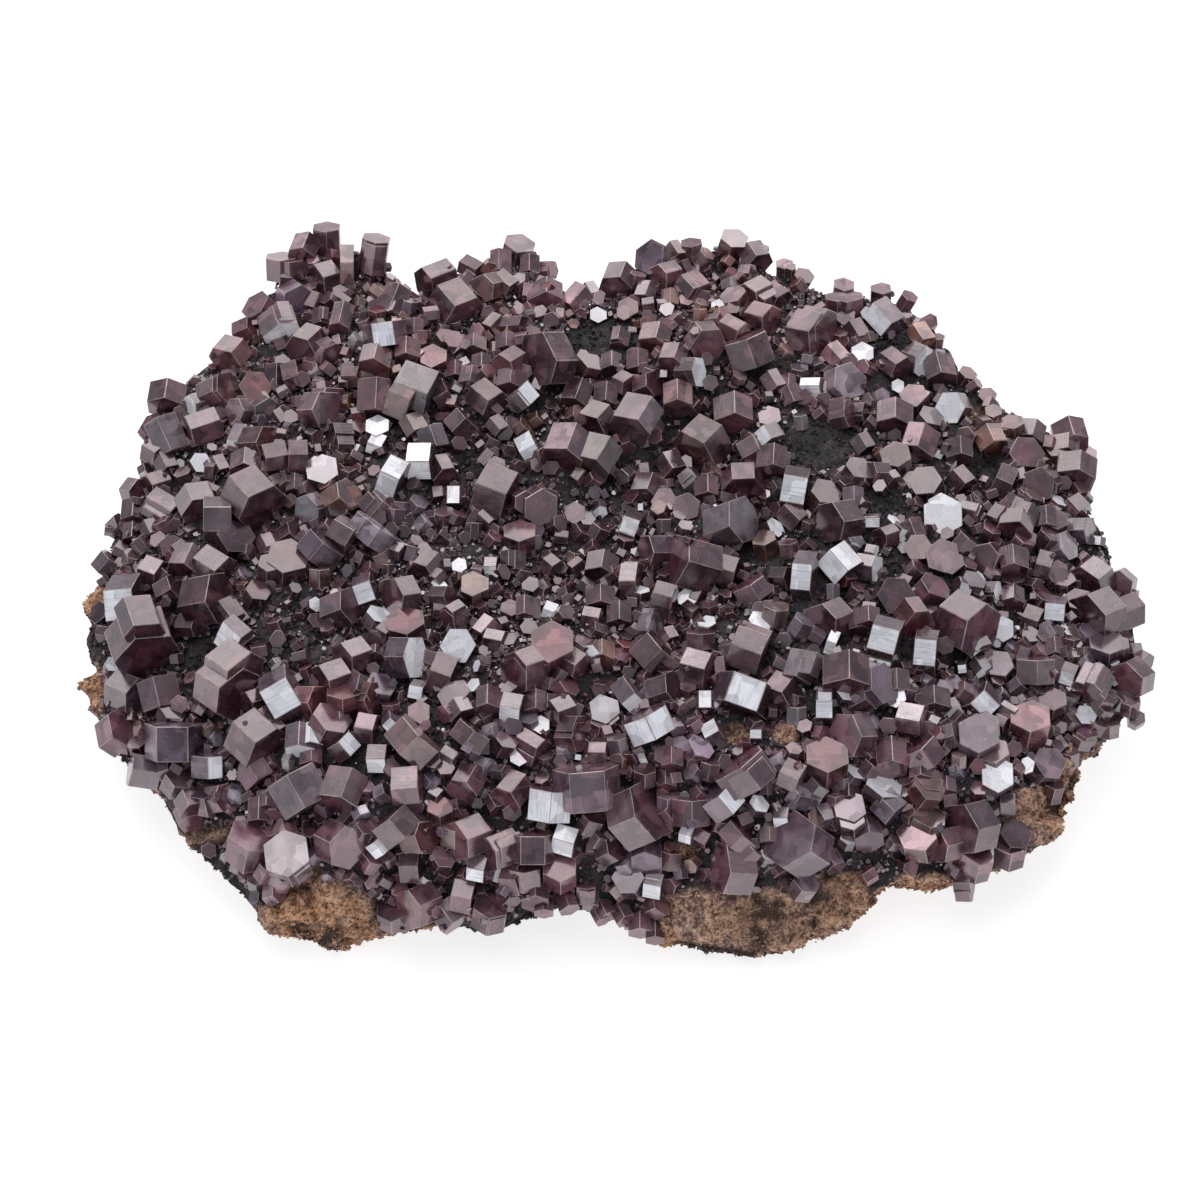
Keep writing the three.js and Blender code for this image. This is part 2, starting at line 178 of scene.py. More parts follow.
def slopeNormal(x, y, step=0.8):
    # Upward normal of the rock's top, from the heights one step away
    downX = topHeight(x + step, y) - topHeight(x - step, y)
    downY = topHeight(x, y + step) - topHeight(x, y - step)
    normal = np.stack([-downX, -downY, np.full_like(downX, 2 * step)], axis=-1)
    return normal / np.linalg.norm(normal, axis=-1, keepdims=True)


def hashed(cells, seed):
    # A steady number from 0 to 1 for each whole-number place
    x, y, z = cells[..., 0], cells[..., 1], cells[..., 2]
    mixed = (x * 73856093) ^ (y * 19349663) ^ (z * 83492791) ^ (seed * 6972593)
    mixed = (mixed ^ (mixed >> 13)) * 1274126177 & 0x7FFFFFFF
    return ((mixed ^ (mixed >> 16)) & 0xFFFFF) / float(0xFFFFF)


def grain(points, size, seed):
    # Smooth noise from -1 to 1: hashed numbers at the corners of cubes of the given size,
    # blended with an easing curve
    scaled = points / size
    low = np.floor(scaled).astype(np.int64)
    share = scaled - low
    share = share * share * (3 - 2 * share)
    total = 0.0
    for i in (0, 1):
        for j in (0, 1):
            for k in (0, 1):
                weight = (np.where(i, share[..., 0], 1 - share[..., 0])
                          * np.where(j, share[..., 1], 1 - share[..., 1])
                          * np.where(k, share[..., 2], 1 - share[..., 2]))
                total = total + weight * hashed(low + np.array([i, j, k]), seed)
    return total * 2 - 1


def bareness(points):
    # How bare and how ochre each point is: the strongest of the bare places, fading out
    # over the last third of their width
    columns, rows = acrossSight(points)
    bare = np.zeros(len(points))
    ochre = np.zeros(len(points))
    for column, row, wide, high, warmth in barePlaces:
        away = np.hypot((columns - column) / wide, (rows - row) / high)
        inside = np.clip((1.25 - away) / 0.45, 0, 1)
        bare = np.maximum(bare, inside)
        ochre = np.maximum(ochre, inside * warmth)
    return bare, ochre


def sparseness(points):
    # The strongest of the sparse places at each point, fading out over their outer half
    columns, rows = acrossSight(points)
    sparse = np.zeros(len(points))
    for column, row, wide, high, share in sparsePlaces:
        away = np.hypot((columns - column) / wide, (rows - row) / high)
        sparse = np.maximum(sparse, np.clip((1.1 - away) / 0.5, 0, 1) * share)
    return sparse


def axesRound(normal, tilt, turn):
    # Own axes of prisms whose long axis tilts from the given normal, toward a turn round it
    helper = np.where(np.abs(normal[:, 2:3]) > 0.9, np.array([[1.0, 0, 0]]), np.array([[0, 0, 1.0]]))
    first = np.cross(normal, helper)
    first = first / np.linalg.norm(first, axis=1, keepdims=True)
    second = np.cross(normal, first)
    aside = np.cos(turn)[:, None] * first + np.sin(turn)[:, None] * second
    along = np.cos(tilt)[:, None] * normal + np.sin(tilt)[:, None] * aside
    sideways = np.cross(along, second + 0.01 * first)
    sideways = sideways / np.linalg.norm(sideways, axis=1, keepdims=True)
    return np.stack([sideways, np.cross(along, sideways), along], axis=1)


def tiltedAxes(normal, least, most):
    # Axes as above, tilted at random by least to most degrees
    tilt = np.radians(chance.uniform(least, most, len(normal)))
    return axesRound(normal, tilt, chance.uniform(0, 2 * math.pi, len(normal)))


def sizesOf(form, count):
    # Random sizes from a form's least to its most, the fewer large ones the higher its power
    share = chance.uniform(0, 1, count) ** form["fewLarge"]
    return form["least"] + (form["most"] - form["least"]) * share


def strewn(tries, reach):
    # Even random places on the top, out to a share of the rim: the root of a random number
    # is the spread, and more of them are kept where the rim is further out
    angle = chance.uniform(-math.pi, math.pi, tries)
    radius = rimAt(angle)[0]
    spread = np.sqrt(chance.uniform(0, 1, tries))
    keep = chance.uniform(0, 1, tries) < (radius / radius.max()) ** 2
    x, y = np.cos(angle) * radius * spread * reach, np.sin(angle) * radius * spread * reach
    x, y = x[keep], y[keep]
    return np.stack([x, y, surfaceHeight(x, y)], axis=-1)


def putPiece(name, points, faces, material, attributes=None, smooth=False):
    # One mesh object from points in millimetres; attributes maps a name to its kind of
    # element, its kind of value and the values
    mesh = bpy.data.meshes.new(name)
    corners = np.concatenate([np.asarray(part).ravel() for part in faces])
    sizes = np.concatenate([np.full(len(part), part.shape[1]) for part in faces])
    starts = np.concatenate([[0], np.cumsum(sizes)[:-1]])
    mesh.vertices.add(len(points))
    mesh.vertices.foreach_set("co", (points * mm).astype(np.float32).ravel())
    mesh.loops.add(len(corners))
    mesh.loops.foreach_set("vertex_index", corners.astype(np.int32))
    mesh.polygons.add(len(sizes))
    mesh.polygons.foreach_set("loop_start", starts.astype(np.int32))
    mesh.update(calc_edges=True)
    mesh.polygons.foreach_set("use_smooth", np.full(len(sizes), smooth))
    for label, (domain, kind, values) in (attributes or {}).items():
        layer = mesh.attributes.new(label, kind, domain)
        field = {"FLOAT": "value", "FLOAT_VECTOR": "vector", "FLOAT_COLOR": "color"}[kind]
        layer.data.foreach_set(field, np.asarray(values, np.float32).ravel())
    mesh.materials.append(material)
    mesh.validate()
    piece = bpy.data.objects.new(name, mesh)
    bpy.context.scene.collection.objects.link(piece)
    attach(piece, "root")
    return piece


class Value:
    # A node's output socket that can stand in a sum: each operator adds its Math node
    def __init__(self, socket):
        self.socket = socket

    def maths(self, operation, first, second):
        tree = self.socket.id_data
        node = tree.nodes.new("ShaderNodeMath")
        node.operation = operation
        for place, item in zip(node.inputs, (first, second)):
            if isinstance(item, Value):
                tree.links.new(item.socket, place)
            elif item is not None:
                place.default_value = item
        return Value(node.outputs[0])

    def __add__(self, other): return self.maths("ADD", self, other)
    def __radd__(self, other): return self.maths("ADD", other, self)
    def __sub__(self, other): return self.maths("SUBTRACT", self, other)
    def __rsub__(self, other): return self.maths("SUBTRACT", other, self)
    def __mul__(self, other): return self.maths("MULTIPLY", self, other)
    def __rmul__(self, other): return self.maths("MULTIPLY", other, self)

    def most(self, other): return self.maths("MAXIMUM", self, other)
    def size(self): return self.maths("ABSOLUTE", self, None)

    def between(self, low, high):
        # 0 below low, 1 above high, straight between
        scaled = (self - low) * (1 / (high - low))
        return scaled.most(0.0).maths("MINIMUM", scaled.most(0.0), 1.0)


class Finish:
    # A material under construction
    def __init__(self, name):
        self.material = bpy.data.materials.new(name)
        self.material.use_nodes = True
        self.tree = self.material.node_tree
        self.tree.nodes.clear()

    def node(self, kind, settings=None, values=None, output=0):
        made = self.tree.nodes.new(kind)
        for label, setting in (settings or {}).items():
            setattr(made, label, setting)
        for label, value in (values or {}).items():
            if isinstance(value, Value):
                self.tree.links.new(value.socket, made.inputs[label])
            else:
                made.inputs[label].default_value = value
        return None if output is None else Value(made.outputs[output])

    def attribute(self, label, output="Fac"):
        return self.node("ShaderNodeAttribute", {"attribute_name": label}, output=output)

    def place(self):
        return self.node("ShaderNodeTexCoord", output="Object")

    def noise(self, place, size, detail=2.0, rough=0.5):
        # size is in the unit of the place that it reads
        return self.node("ShaderNodeTexNoise", None,
                         {"Vector": place, "Scale": 1 / size, "Detail": detail, "Roughness": rough})

    def stretch(self, place, factors):
        return self.node("ShaderNodeVectorMath", {"operation": "MULTIPLY"}, {0: place, 1: factors})

    def blend(self, share, first, second, mode="MIX"):
        # Mix node on colours: its colour inputs are the seventh and eighth
        return self.node("ShaderNodeMix", {"data_type": "RGBA", "blend_type": mode},
                         {0: share, 6: first, 7: second}, output=2)

    def layers(self, colour, tones):
        # Tones laid over a colour one after another, each by its share
        for share, tone in tones:
            colour = self.blend(share, colour, tone)
        return colour

    def bump(self, height, deep, strength=1.0):
        return self.node("ShaderNodeBump", None,
                         {"Height": height, "Distance": deep, "Strength": strength})

    def shader(self, **values):
        # An underscore in a label stands for the space in a socket's name
        return self.node("ShaderNodeBsdfPrincipled", None,
                         {label.replace("_", " "): value for label, value in values.items()})

    def close(self, shader):
        self.node("ShaderNodeOutputMaterial", None, {"Surface": shader}, output=None)
        return self.material


# Crystals read from the picture one by one: column, row, width across the edges and height in
# millimetres, clock angle and lean of the axis in degrees, then spin and a letter for the tone
seenCrystals = [
    (283, 268, 5.2, 3.4, 90, 68), (306, 252, 4.6, 4, 255, 45), (328, 240, 4.4, 3.8, 90, 62),
    (348, 266, 6.8, 2, 180, 86, 0, "t"), (296, 302, 5.6, 3.2, 325, 35, 0, "u"),
    (280, 326, 6, 3.4, 290, 65, 0, "b"), (262, 312, 5, 3, 135, 50), (248, 331, 4, 3, 20, 60),
    (232, 356, 5.4, 3.6, 235, 50), (170, 400, 6.6, 3.4, 265, 62), (199, 405, 4, 2.6, 200, 60, 0, "b"),
    (222, 394, 5.6, 4, 20, 55), (256, 391, 5, 3, 60, 25, 0, "r"), (265, 410, 4.2, 3, 330, 30, 0, "p"),
    (242, 412, 4, 3, 180, 35, 0, "p"), (205, 428, 5, 4.6, 200, 75),
    (170, 438, 5.6, 5.4, 295, 80, 0, "g"), (158, 430, 4, 3, 130, 45), (158, 454, 4.2, 3, 330, 55),
    (243, 440, 4.2, 3, 250, 60, 0, "b"), (260, 442, 5, 4, 0, 50, 0, "r"), (278, 377, 3.7, 3.4, 270, 80),
    (295, 377, 4.8, 2.4, 20, 80), (322, 412, 6.2, 3.6, 0, 45), (298, 457, 5.2, 2.7, 180, 80),
    (275, 457, 4.4, 3.4, 190, 72), (308, 346, 5.6, 4, 230, 45), (330, 355, 4.4, 3, 320, 40),
    (375, 255, 4.6, 5, 80, 65), (326, 279, 5, 3, 200, 60), (394, 303, 4.6, 4.4, 250, 70),
    (343, 320, 3.6, 4.4, 260, 55), (386, 335, 6.4, 3.4, 98, 85, 30, "b"), (408, 353, 4.2, 3, 270, 60),
    (376, 398, 5.4, 4.8, 268, 78), (405, 400, 7.6, 3.4, 335, 82, 0, "t"),
    (418, 390, 7.6, 5.2, 340, 80, 0, "g"), (443, 395, 4.4, 2.4, 30, 82), (462, 425, 5, 2.8, 45, 82),
    (456, 307, 7, 5, 310, 60), (437, 281, 5.4, 4.6, 205, 60), (473, 270, 3.6, 3.4, 330, 60),
    (518, 253, 4.8, 3.6, 75, 45, 0, "p"), (501, 265, 3.8, 3.6, 270, 70), (530, 267, 3.4, 2.8, 270, 72),
    (547, 271, 3, 2.4, 0, 60), (506, 285, 3.6, 3.2, 320, 70), (490, 289, 4.8, 4, 200, 35),
    (545, 300, 5.6, 4, 270, 40), (415, 330, 3.2, 2.6, 270, 65), (433, 323, 2.4, 1.6, 100, 30, 0, "b"),
    (475, 348, 3.8, 2.6, 270, 50), (493, 327, 3.4, 2.8, 230, 60), (515, 328, 3.6, 3.4, 0, 60),
    (506, 345, 3.6, 2.6, 270, 62), (510, 366, 5, 3.4, 215, 50), (512, 384, 4.6, 3, 265, 55),
    (488, 400, 5.2, 4, 320, 60), (522, 397, 5, 2.8, 130, 80, 0, "b"),
    (548, 361, 8.6, 4.2, 185, 48, 0, "n"), (378, 430, 3.8, 2.4, 90, 30, 0, "b"),
    (378, 445, 3.6, 2.2, 340, 80, 0, "b"), (415, 427, 4, 2.8, 300, 70, 0, "t"),
    (435, 440, 4.4, 3.4, 290, 75, 0, "g"), (340, 435, 4, 3, 180, 60), (354, 377, 3.4, 2.6, 0, 65),
    (456, 372, 3, 2.4, 270, 65), (470, 379, 3.4, 2.8, 260, 60), (482, 366, 3.4, 2.4, 270, 60),
    (499, 428, 3.2, 2.6, 310, 65), (529, 447, 4.8, 2.6, 30, 82, 0, "b"), (575, 301, 4.4, 4, 230, 70),
    (598, 318, 2.8, 1.8, 90, 20, 0, "b"), (618, 283, 5.2, 4, 250, 45),
    (655, 262, 5.6, 3.4, 150, 35, 0, "u"), (676, 254, 3, 3, 300, 55), (692, 251, 3.6, 2.6, 95, 60),
    (732, 246, 4.6, 3, 70, 45), (755, 258, 4.4, 3.2, 300, 55), (665, 277, 4.4, 3.4, 200, 50),
    (693, 290, 4.8, 3.4, 310, 60), (628, 311, 3.4, 2, 90, 20), (653, 341, 5.2, 3.4, 255, 52),
    (706, 342, 5.8, 3, 300, 35), (748, 352, 7.2, 4.4, 110, 78), (762, 319, 4.8, 3.6, 340, 50),
    (733, 331, 4, 3.6, 330, 60), (755, 296, 4.8, 4, 210, 50), (775, 298, 4, 3.4, 320, 55),
    (718, 309, 2.4, 1.6, 90, 20, 0, "b"), (688, 303, 2.8, 2, 100, 35), (673, 359, 4.4, 3, 250, 55),
    (690, 373, 4.6, 3, 0, 60, 0, "b"), (637, 363, 3.8, 3, 270, 68), (620, 341, 3, 2.6, 260, 60),
    (611, 366, 3.4, 3, 270, 50), (577, 396, 4.6, 3.6, 250, 65), (606, 398, 3.8, 3.4, 265, 60),
    (594, 423, 5.4, 4, 230, 45), (636, 421, 7, 5, 240, 55, 0, "p"), (733, 417, 6.4, 4.4, 270, 50),
    (702, 446, 7.6, 4.4, 225, 60), (752, 452, 5, 2.8, 30, 78), (770, 421, 3.6, 2.6, 100, 30),
    (769, 437, 4, 2.4, 300, 70, 0, "b"), (773, 384, 3.4, 3, 300, 65), (791, 397, 3.2, 2.8, 290, 70),
    (801, 281, 3.4, 2.4, 60, 40), (810, 335, 7, 4.6, 345, 50), (846, 306, 5, 3, 90, 62),
    (843, 291, 3.6, 2.2, 85, 50), (884, 321, 5.6, 4.4, 310, 70, 0, "b"),
    (861, 356, 3.6, 2.2, 90, 20, 0, "b"), (844, 320, 3.4, 2, 80, 30), (856, 333, 3.6, 3, 300, 70),
    (836, 357, 3.8, 3.2, 310, 68), (843, 385, 5.8, 3.4, 20, 30, 0, "w"),
    (812, 388, 3.4, 3, 0, 70, 0, "b"), (897, 388, 2.2, 1.6, 90, 15, 0, "b"),
    (893, 366, 4.4, 3.4, 320, 55), (916, 362, 4.4, 3.4, 330, 40, 0, "b"), (938, 374, 5.4, 4, 280, 55),
    (920, 338, 3.8, 3.4, 300, 60, 0, "o"), (952, 409, 4.8, 2.8, 180, 30, 0, "b"),
    (892, 421, 6, 3.8, 265, 55), (917, 444, 5.6, 4, 250, 65), (914, 402, 4.2, 3, 110, 35),
    (967, 437, 3, 2.4, 190, 25), (958, 453, 4.4, 3, 270, 60), (863, 446, 3.4, 2.6, 300, 65),
    (854, 473, 4, 3, 60, 40, 0, "p"), (877, 474, 3.8, 2.8, 180, 60), (925, 486, 4.8, 3, 120, 30),
    (960, 481, 4.2, 2.8, 310, 70), (985, 399, 3, 2, 70, 35), (992, 416, 2.8, 2.2, 90, 40),
    (964, 379, 3, 2.4, 60, 50), (906, 302, 3, 2.2, 60, 55), (880, 297, 3.6, 2.8, 90, 55),
    (990, 442, 4.8, 3.4, 290, 55, 0, "o"), (1011, 430, 4, 2.8, 100, 55), (1029, 434, 4.2, 3, 250, 60),
    (1022, 458, 5.2, 3.4, 60, 25), (1040, 484, 5.2, 3.4, 200, 25), (1003, 481, 4.8, 2.6, 335, 85),
    (1067, 437, 5.4, 3.6, 280, 55), (1063, 449, 4.6, 2.8, 262, 56), (1073, 473, 6.8, 3.4, 260, 60),
    (1084, 459, 3.4, 2.4, 80, 40), (1013, 528, 5.6, 3.4, 250, 40), (1022, 517, 4.4, 2.8, 240, 65),
    (995, 518, 3.4, 2.6, 230, 60), (1044, 520, 3.6, 3, 270, 65), (1055, 525, 3.4, 2.8, 90, 30),
    (1075, 508, 4, 2.6, 310, 70), (1078, 531, 4, 3, 0, 60, 0, "g"), (1043, 565, 4.8, 2.2, 345, 80),
    (986, 558, 4.4, 3, 190, 25), (1011, 563, 4.6, 3.4, 270, 55), (1078, 492, 2.8, 2.2, 300, 60),
    (1056, 574, 3.4, 2.4, 90, 20), (1090, 580, 6.4, 3.4, 215, 55), (1118, 586, 5, 3, 200, 25),
    (1095, 614, 7.6, 4.4, 200, 55), (1121, 612, 5.4, 4, 200, 60),
    (1055, 613, 4.8, 2.8, 355, 75, 30, "b"), (1011, 599, 3.8, 2.6, 265, 50),
    (1031, 619, 4.2, 2.4, 340, 75), (1028, 638, 3, 2, 70, 40, 0, "g"),
    (1038, 652, 2.8, 1.8, 40, 60, 0, "t"), (1052, 650, 3, 2.6, 270, 55), (1090, 683, 5.4, 3.6, 240, 65),
    (1130, 679, 5.8, 3.6, 200, 40), (1068, 674, 3.6, 2, 340, 75, 0, "b"),
    (1104, 650, 5.2, 3, 90, 50, 0, "u"), (1127, 653, 3.6, 3, 0, 60),
    (1110, 663, 2.6, 1.4, 100, 45, 0, "b"), (1102, 711, 3, 2, 60, 55),
    (1083, 717, 3.2, 1.6, 60, 30, 0, "b"), (1108, 729, 3, 2, 90, 70, 0, "t"),
    (1135, 720, 2.6, 1.8, 90, 20, 0, "g"), (1033, 670, 6, 3.4, 90, 84, 0, "t"),
    (1050, 703, 4.2, 2.6, 90, 35), (1027, 726, 6.2, 4.4, 85, 45, 0, "r"),
    (979, 702, 5.4, 3.2, 135, 78, 30, "b"), (993, 754, 4.6, 2, 100, 40, 0, "t"),
    (995, 776, 5.2, 3, 90, 20, 0, "b"), (1045, 766, 5, 3, 60, 30, 0, "p"), (1051, 791, 3, 2.6, 80, 60),
    (1058, 746, 2.6, 2, 300, 60), (1007, 803, 3.4, 2, 0, 82, 0, "u"), (970, 825, 7.2, 4, 190, 55),
    (927, 820, 4.8, 2, 80, 50, 0, "t"), (917, 840, 5.8, 3.6, 110, 35, 0, "r"),
    (946, 842, 5, 3.4, 190, 60), (975, 860, 5, 4, 80, 45), (1006, 850, 5, 3.2, 85, 50),
    (956, 867, 3, 2.2, 320, 60), (963, 882, 3.4, 2.4, 0, 70), (975, 738, 6.2, 3.6, 90, 30, 0, "u"),
    (949, 735, 3.8, 2.4, 20, 65, 0, "g"), (692, 565, 8.4, 5.4, 165, 65), (632, 581, 5.6, 2.4, 0, 75),
    (748, 650, 6.4, 4.4, 340, 80), (742, 695, 7.8, 4.2, 250, 78, 30, "b"), (655, 655, 7, 3.6, 45, 80),
    (698, 668, 6, 3.6, 345, 70), (664, 602, 6, 3, 345, 80), (701, 639, 4.6, 2.2, 90, 80),
    (752, 590, 5.4, 2.6, 120, 80), (728, 571, 4.6, 2.4, 345, 80),
    (805, 577, 7.4, 2.8, 355, 75, 30, "b"), (840, 565, 6, 4, 310, 75, 0, "b"),
    (867, 568, 4.4, 2.8, 350, 65, 0, "b"), (838, 522, 6.4, 4.2, 190, 50),
    (794, 490, 7, 3.4, 350, 84, 30, "b"), (792, 516, 4, 3.2, 315, 78), (942, 518, 6, 3, 90, 15, 0, "b"),
    (970, 516, 4, 2.8, 345, 70), (942, 560, 5, 3.2, 100, 20), (918, 550, 4, 2.6, 120, 20),
    (912, 531, 3.4, 2.8, 290, 70), (893, 598, 5.6, 3, 60, 15), (965, 622, 8.4, 5.4, 330, 50),
    (884, 642, 6.8, 3.8, 345, 78, 30, "b"), (925, 653, 6.4, 3, 355, 80, 30, "b"),
    (843, 677, 7.6, 4.4, 268, 60), (799, 669, 5, 4, 250, 70, 0, "g"), (828, 620, 6, 4, 200, 45),
    (861, 624, 4.4, 3, 270, 60), (913, 618, 5, 3.6, 300, 40, 0, "r"),
    (975, 647, 3.4, 2.8, 300, 65, 0, "b"), (1000, 631, 3.8, 2.4, 90, 15, 0, "b"),
    (980, 667, 3, 2, 300, 60, 0, "b"), (999, 668, 4.2, 2.6, 110, 30, 0, "u"),
    (730, 525, 7.4, 5, 20, 50, 0, "p"), (742, 484, 6.2, 3, 272, 52, 30), (686, 510, 4.2, 2.6, 80, 15),
    (665, 503, 3.8, 2.4, 120, 15), (575, 515, 3.2, 2, 90, 15), (631, 529, 5, 2.4, 340, 80, 30, "b"),
    (597, 458, 6.4, 4.6, 240, 60, 0, "t"), (566, 450, 6.8, 5, 250, 55), (645, 490, 4.4, 3.4, 250, 50),
    (671, 467, 4.2, 3.2, 300, 60), (601, 570, 5.4, 3.4, 260, 50), (600, 600, 4.8, 2.8, 270, 60),
    (592, 617, 3, 2.4, 350, 80), (618, 616, 3.8, 3, 270, 60), (552, 648, 6.6, 4, 90, 30, 0, "r"),
    (603, 655, 3.6, 3, 270, 45, 0, "o"), (497, 493, 8.4, 4.6, 338, 80), (537, 506, 5.6, 4, 330, 20),
    (423, 462, 6.4, 3.4, 0, 80, 0, "b"), (443, 472, 4.2, 3.2, 300, 50),
    (394, 480, 6.8, 3, 335, 82, 0, "b"), (325, 475, 5, 3, 100, 30, 0, "w"),
    (343, 500, 5, 4, 30, 50, 0, "o"), (345, 535, 4.8, 3.4, 330, 75, 30, "t"),
    (377, 536, 5.8, 3, 55, 82, 0, "w"), (368, 592, 4.8, 2.6, 20, 80, 30, "b"),
    (402, 597, 6.4, 3, 190, 55), (407, 656, 6.4, 3.2, 0, 60, 0, "b"), (444, 672, 6.4, 3, 340, 85),
    (457, 648, 5.2, 3, 60, 15, 0, "b"), (427, 568, 4.4, 3.4, 230, 50), (343, 610, 5.6, 4, 20, 55),
    (353, 657, 5, 3.6, 200, 50), (525, 672, 6, 4, 200, 50), (497, 641, 3.8, 2.8, 350, 70),
    (485, 629, 3.6, 2.8, 230, 70), (455, 617, 3.8, 3, 210, 55), (530, 612, 3.6, 3.2, 270, 60),
    (551, 611, 3, 1.8, 340, 80, 0, "b"), (475, 590, 4.4, 3, 90, 35, 0, "o"),
    (492, 566, 3, 1.8, 0, 80, 0, "b"), (515, 563, 3.2, 2.8, 270, 70), (521, 541, 5, 3.6, 90, 50),
    (778, 692, 4.8, 3.6, 230, 50), (713, 731, 3.8, 2.2, 30, 78, 0, "b"),
    (704, 701, 3.2, 2.4, 270, 75, 30, "b"), (699, 751, 3.4, 2.2, 50, 40, 0, "w"),
    (757, 734, 2.4, 1.6, 0, 75, 30, "b"), (648, 724, 7, 3.4, 115, 82, 0, "b"),
    (629, 694, 6, 2.4, 40, 82, 0, "b"), (605, 712, 4.4, 2.8, 100, 20, 0, "w"),
    (572, 736, 4.4, 3, 0, 55), (600, 728, 3, 2.2, 80, 60), (618, 745, 3, 2.6, 100, 70, 0, "g"),
    (600, 753, 3.8, 2.4, 0, 75), (667, 802, 3.4, 2.4, 90, 70, 0, "p"),
    (688, 834, 3, 1.8, 345, 70, 0, "b"), (201, 467, 3.4, 2.4, 60, 30, 0, "b"),
    (220, 467, 3, 2.6, 300, 65), (168, 466, 3.6, 3, 300, 60), (137, 492, 4.2, 2.8, 350, 40),
    (158, 484, 4.2, 3.2, 200, 60), (166, 506, 4.4, 4.4, 330, 75), (200, 506, 6.4, 4, 300, 45),
    (219, 521, 6.6, 3.9, 180, 84, 30, "p"), (255, 500, 8, 5.4, 315, 55), (296, 486, 3, 2.6, 270, 60),
    (119, 527, 3.2, 2.4, 40, 55), (136, 514, 4.4, 3.2, 270, 60), (134, 534, 3.2, 2.6, 270, 60),
    (152, 531, 3.2, 2.6, 300, 60), (171, 549, 3.6, 2, 45, 25), (188, 562, 4.8, 3.8, 250, 55),
    (215, 568, 5.4, 4.2, 330, 65), (109, 565, 4.4, 2.6, 50, 82, 0, "g"),
    (131, 604, 8.6, 4.2, 5, 76, 30, "b"), (148, 642, 9.8, 6, 295, 50), (134, 655, 3.2, 2.6, 270, 60),
    (210, 600, 7.6, 5, 10, 58), (191, 626, 3.6, 3, 0, 60), (240, 641, 5.4, 4.2, 320, 70, 0, "b"),
    (236, 619, 4.4, 3.8, 310, 65), (230, 686, 8, 5.4, 330, 50), (288, 566, 6.4, 4.4, 80, 40),
    (323, 550, 6.8, 3.2, 50, 80, 0, "u"), (312, 508, 4.2, 3, 200, 30, 0, "w"),
    (290, 535, 3.4, 2.8, 30, 60), (268, 545, 3, 2.4, 300, 60), (115, 680, 3.2, 2.8, 200, 60),
    (120, 666, 3, 2, 60, 30, 0, "b"), (130, 692, 5.6, 4.2, 340, 58, 0, "g"),
    (162, 694, 6.4, 4.2, 285, 80), (288, 697, 8, 4.2, 30, 82, 30, "b"), (259, 702, 4.4, 3.6, 200, 60),
    (105, 615, 3.4, 2.6, 150, 40), (120, 731, 6, 3.6, 35, 50), (179, 740, 8.6, 4.8, 90, 84, 30, "u"),
    (146, 770, 5.2, 4, 170, 75, 0, "u"), (210, 765, 5, 3, 90, 84, 0, "b"), (258, 740, 7.6, 5, 320, 60),
    (257, 773, 5, 2.8, 305, 80), (303, 740, 4.6, 3.6, 270, 60, 0, "b"),
    (302, 791, 7.6, 5, 300, 84, 0, "p"), (344, 790, 6.4, 4.6, 250, 62), (220, 798, 4, 3, 10, 45),
    (262, 811, 3.8, 3.2, 270, 70), (252, 845, 6.6, 4.4, 75, 50), (290, 858, 6.8, 4, 100, 25, 0, "w"),
    (340, 842, 6.4, 4, 340, 40), (368, 727, 4.6, 2.6, 350, 80), (345, 745, 4.4, 2.6, 130, 78, 0, "b"),
    (380, 758, 4.4, 2.6, 0, 80, 0, "b"), (408, 784, 6, 3.6, 5, 84), (398, 824, 6.4, 3.4, 130, 84),
    (414, 742, 7.6, 3.6, 45, 84, 0, "t"), (420, 715, 3.4, 3, 90, 20), (471, 735, 5.8, 2.6, 55, 84),
    (490, 703, 4.4, 3.4, 270, 50), (532, 746, 4.4, 3.6, 330, 65), (541, 726, 2.8, 1.8, 90, 20, 0, "b"),
    (520, 758, 2.8, 1.6, 90, 20, 0, "b"), (535, 703, 3.6, 2.8, 270, 65),
    (513, 708, 4.6, 2.8, 350, 80, 0, "b"), (551, 803, 6.6, 4.2, 85, 84, 0, "b"),
    (588, 786, 8.7, 5.4, 95, 82, 30, "p"), (636, 815, 8.8, 4.4, 25, 62), (691, 810, 5.6, 3.6, 90, 82),
    (722, 800, 5.6, 3.2, 130, 78, 0, "b"), (743, 773, 8.4, 3.6, 125, 82),
    (792, 775, 5, 2.8, 335, 75, 0, "t"), (826, 762, 6.2, 3.6, 90, 40, 0, "r"),
    (815, 789, 3.2, 2.4, 50, 75, 0, "g"), (798, 843, 8.2, 4.8, 145, 45, 0, "u"),
    (733, 868, 7.2, 4, 175, 68), (737, 837, 5.4, 2.4, 45, 82), (630, 880, 4.8, 3, 120, 25, 0, "u"),
    (654, 884, 4.2, 2.4, 350, 80, 0, "b"), (669, 859, 3.4, 2.4, 80, 80),
    (533, 846, 6.2, 3.8, 90, 84, 30), (566, 840, 4.6, 3, 345, 80, 0, "b"), (560, 872, 5, 3.4, 90, 35),
    (412, 866, 4.6, 2.6, 0, 80), (479, 867, 4.4, 2.4, 350, 80, 0, "b"), (464, 895, 5, 2.8, 350, 84),
    (449, 914, 4.4, 3.4, 310, 75), (420, 905, 6, 4, 200, 50), (393, 915, 4.4, 3, 90, 40),
    (443, 860, 3.6, 2.8, 60, 35), (420, 836, 5.2, 3.4, 0, 55, 0, "r"), (468, 835, 6, 4, 200, 55),
    (500, 848, 5.4, 4.2, 200, 60), (512, 792, 5, 4, 230, 50), (466, 783, 4.6, 3.6, 240, 45),
    (380, 842, 4.2, 2.2, 130, 75, 0, "b"), (525, 875, 4.8, 3, 90, 70), (491, 913, 5.2, 3.4, 80, 50),
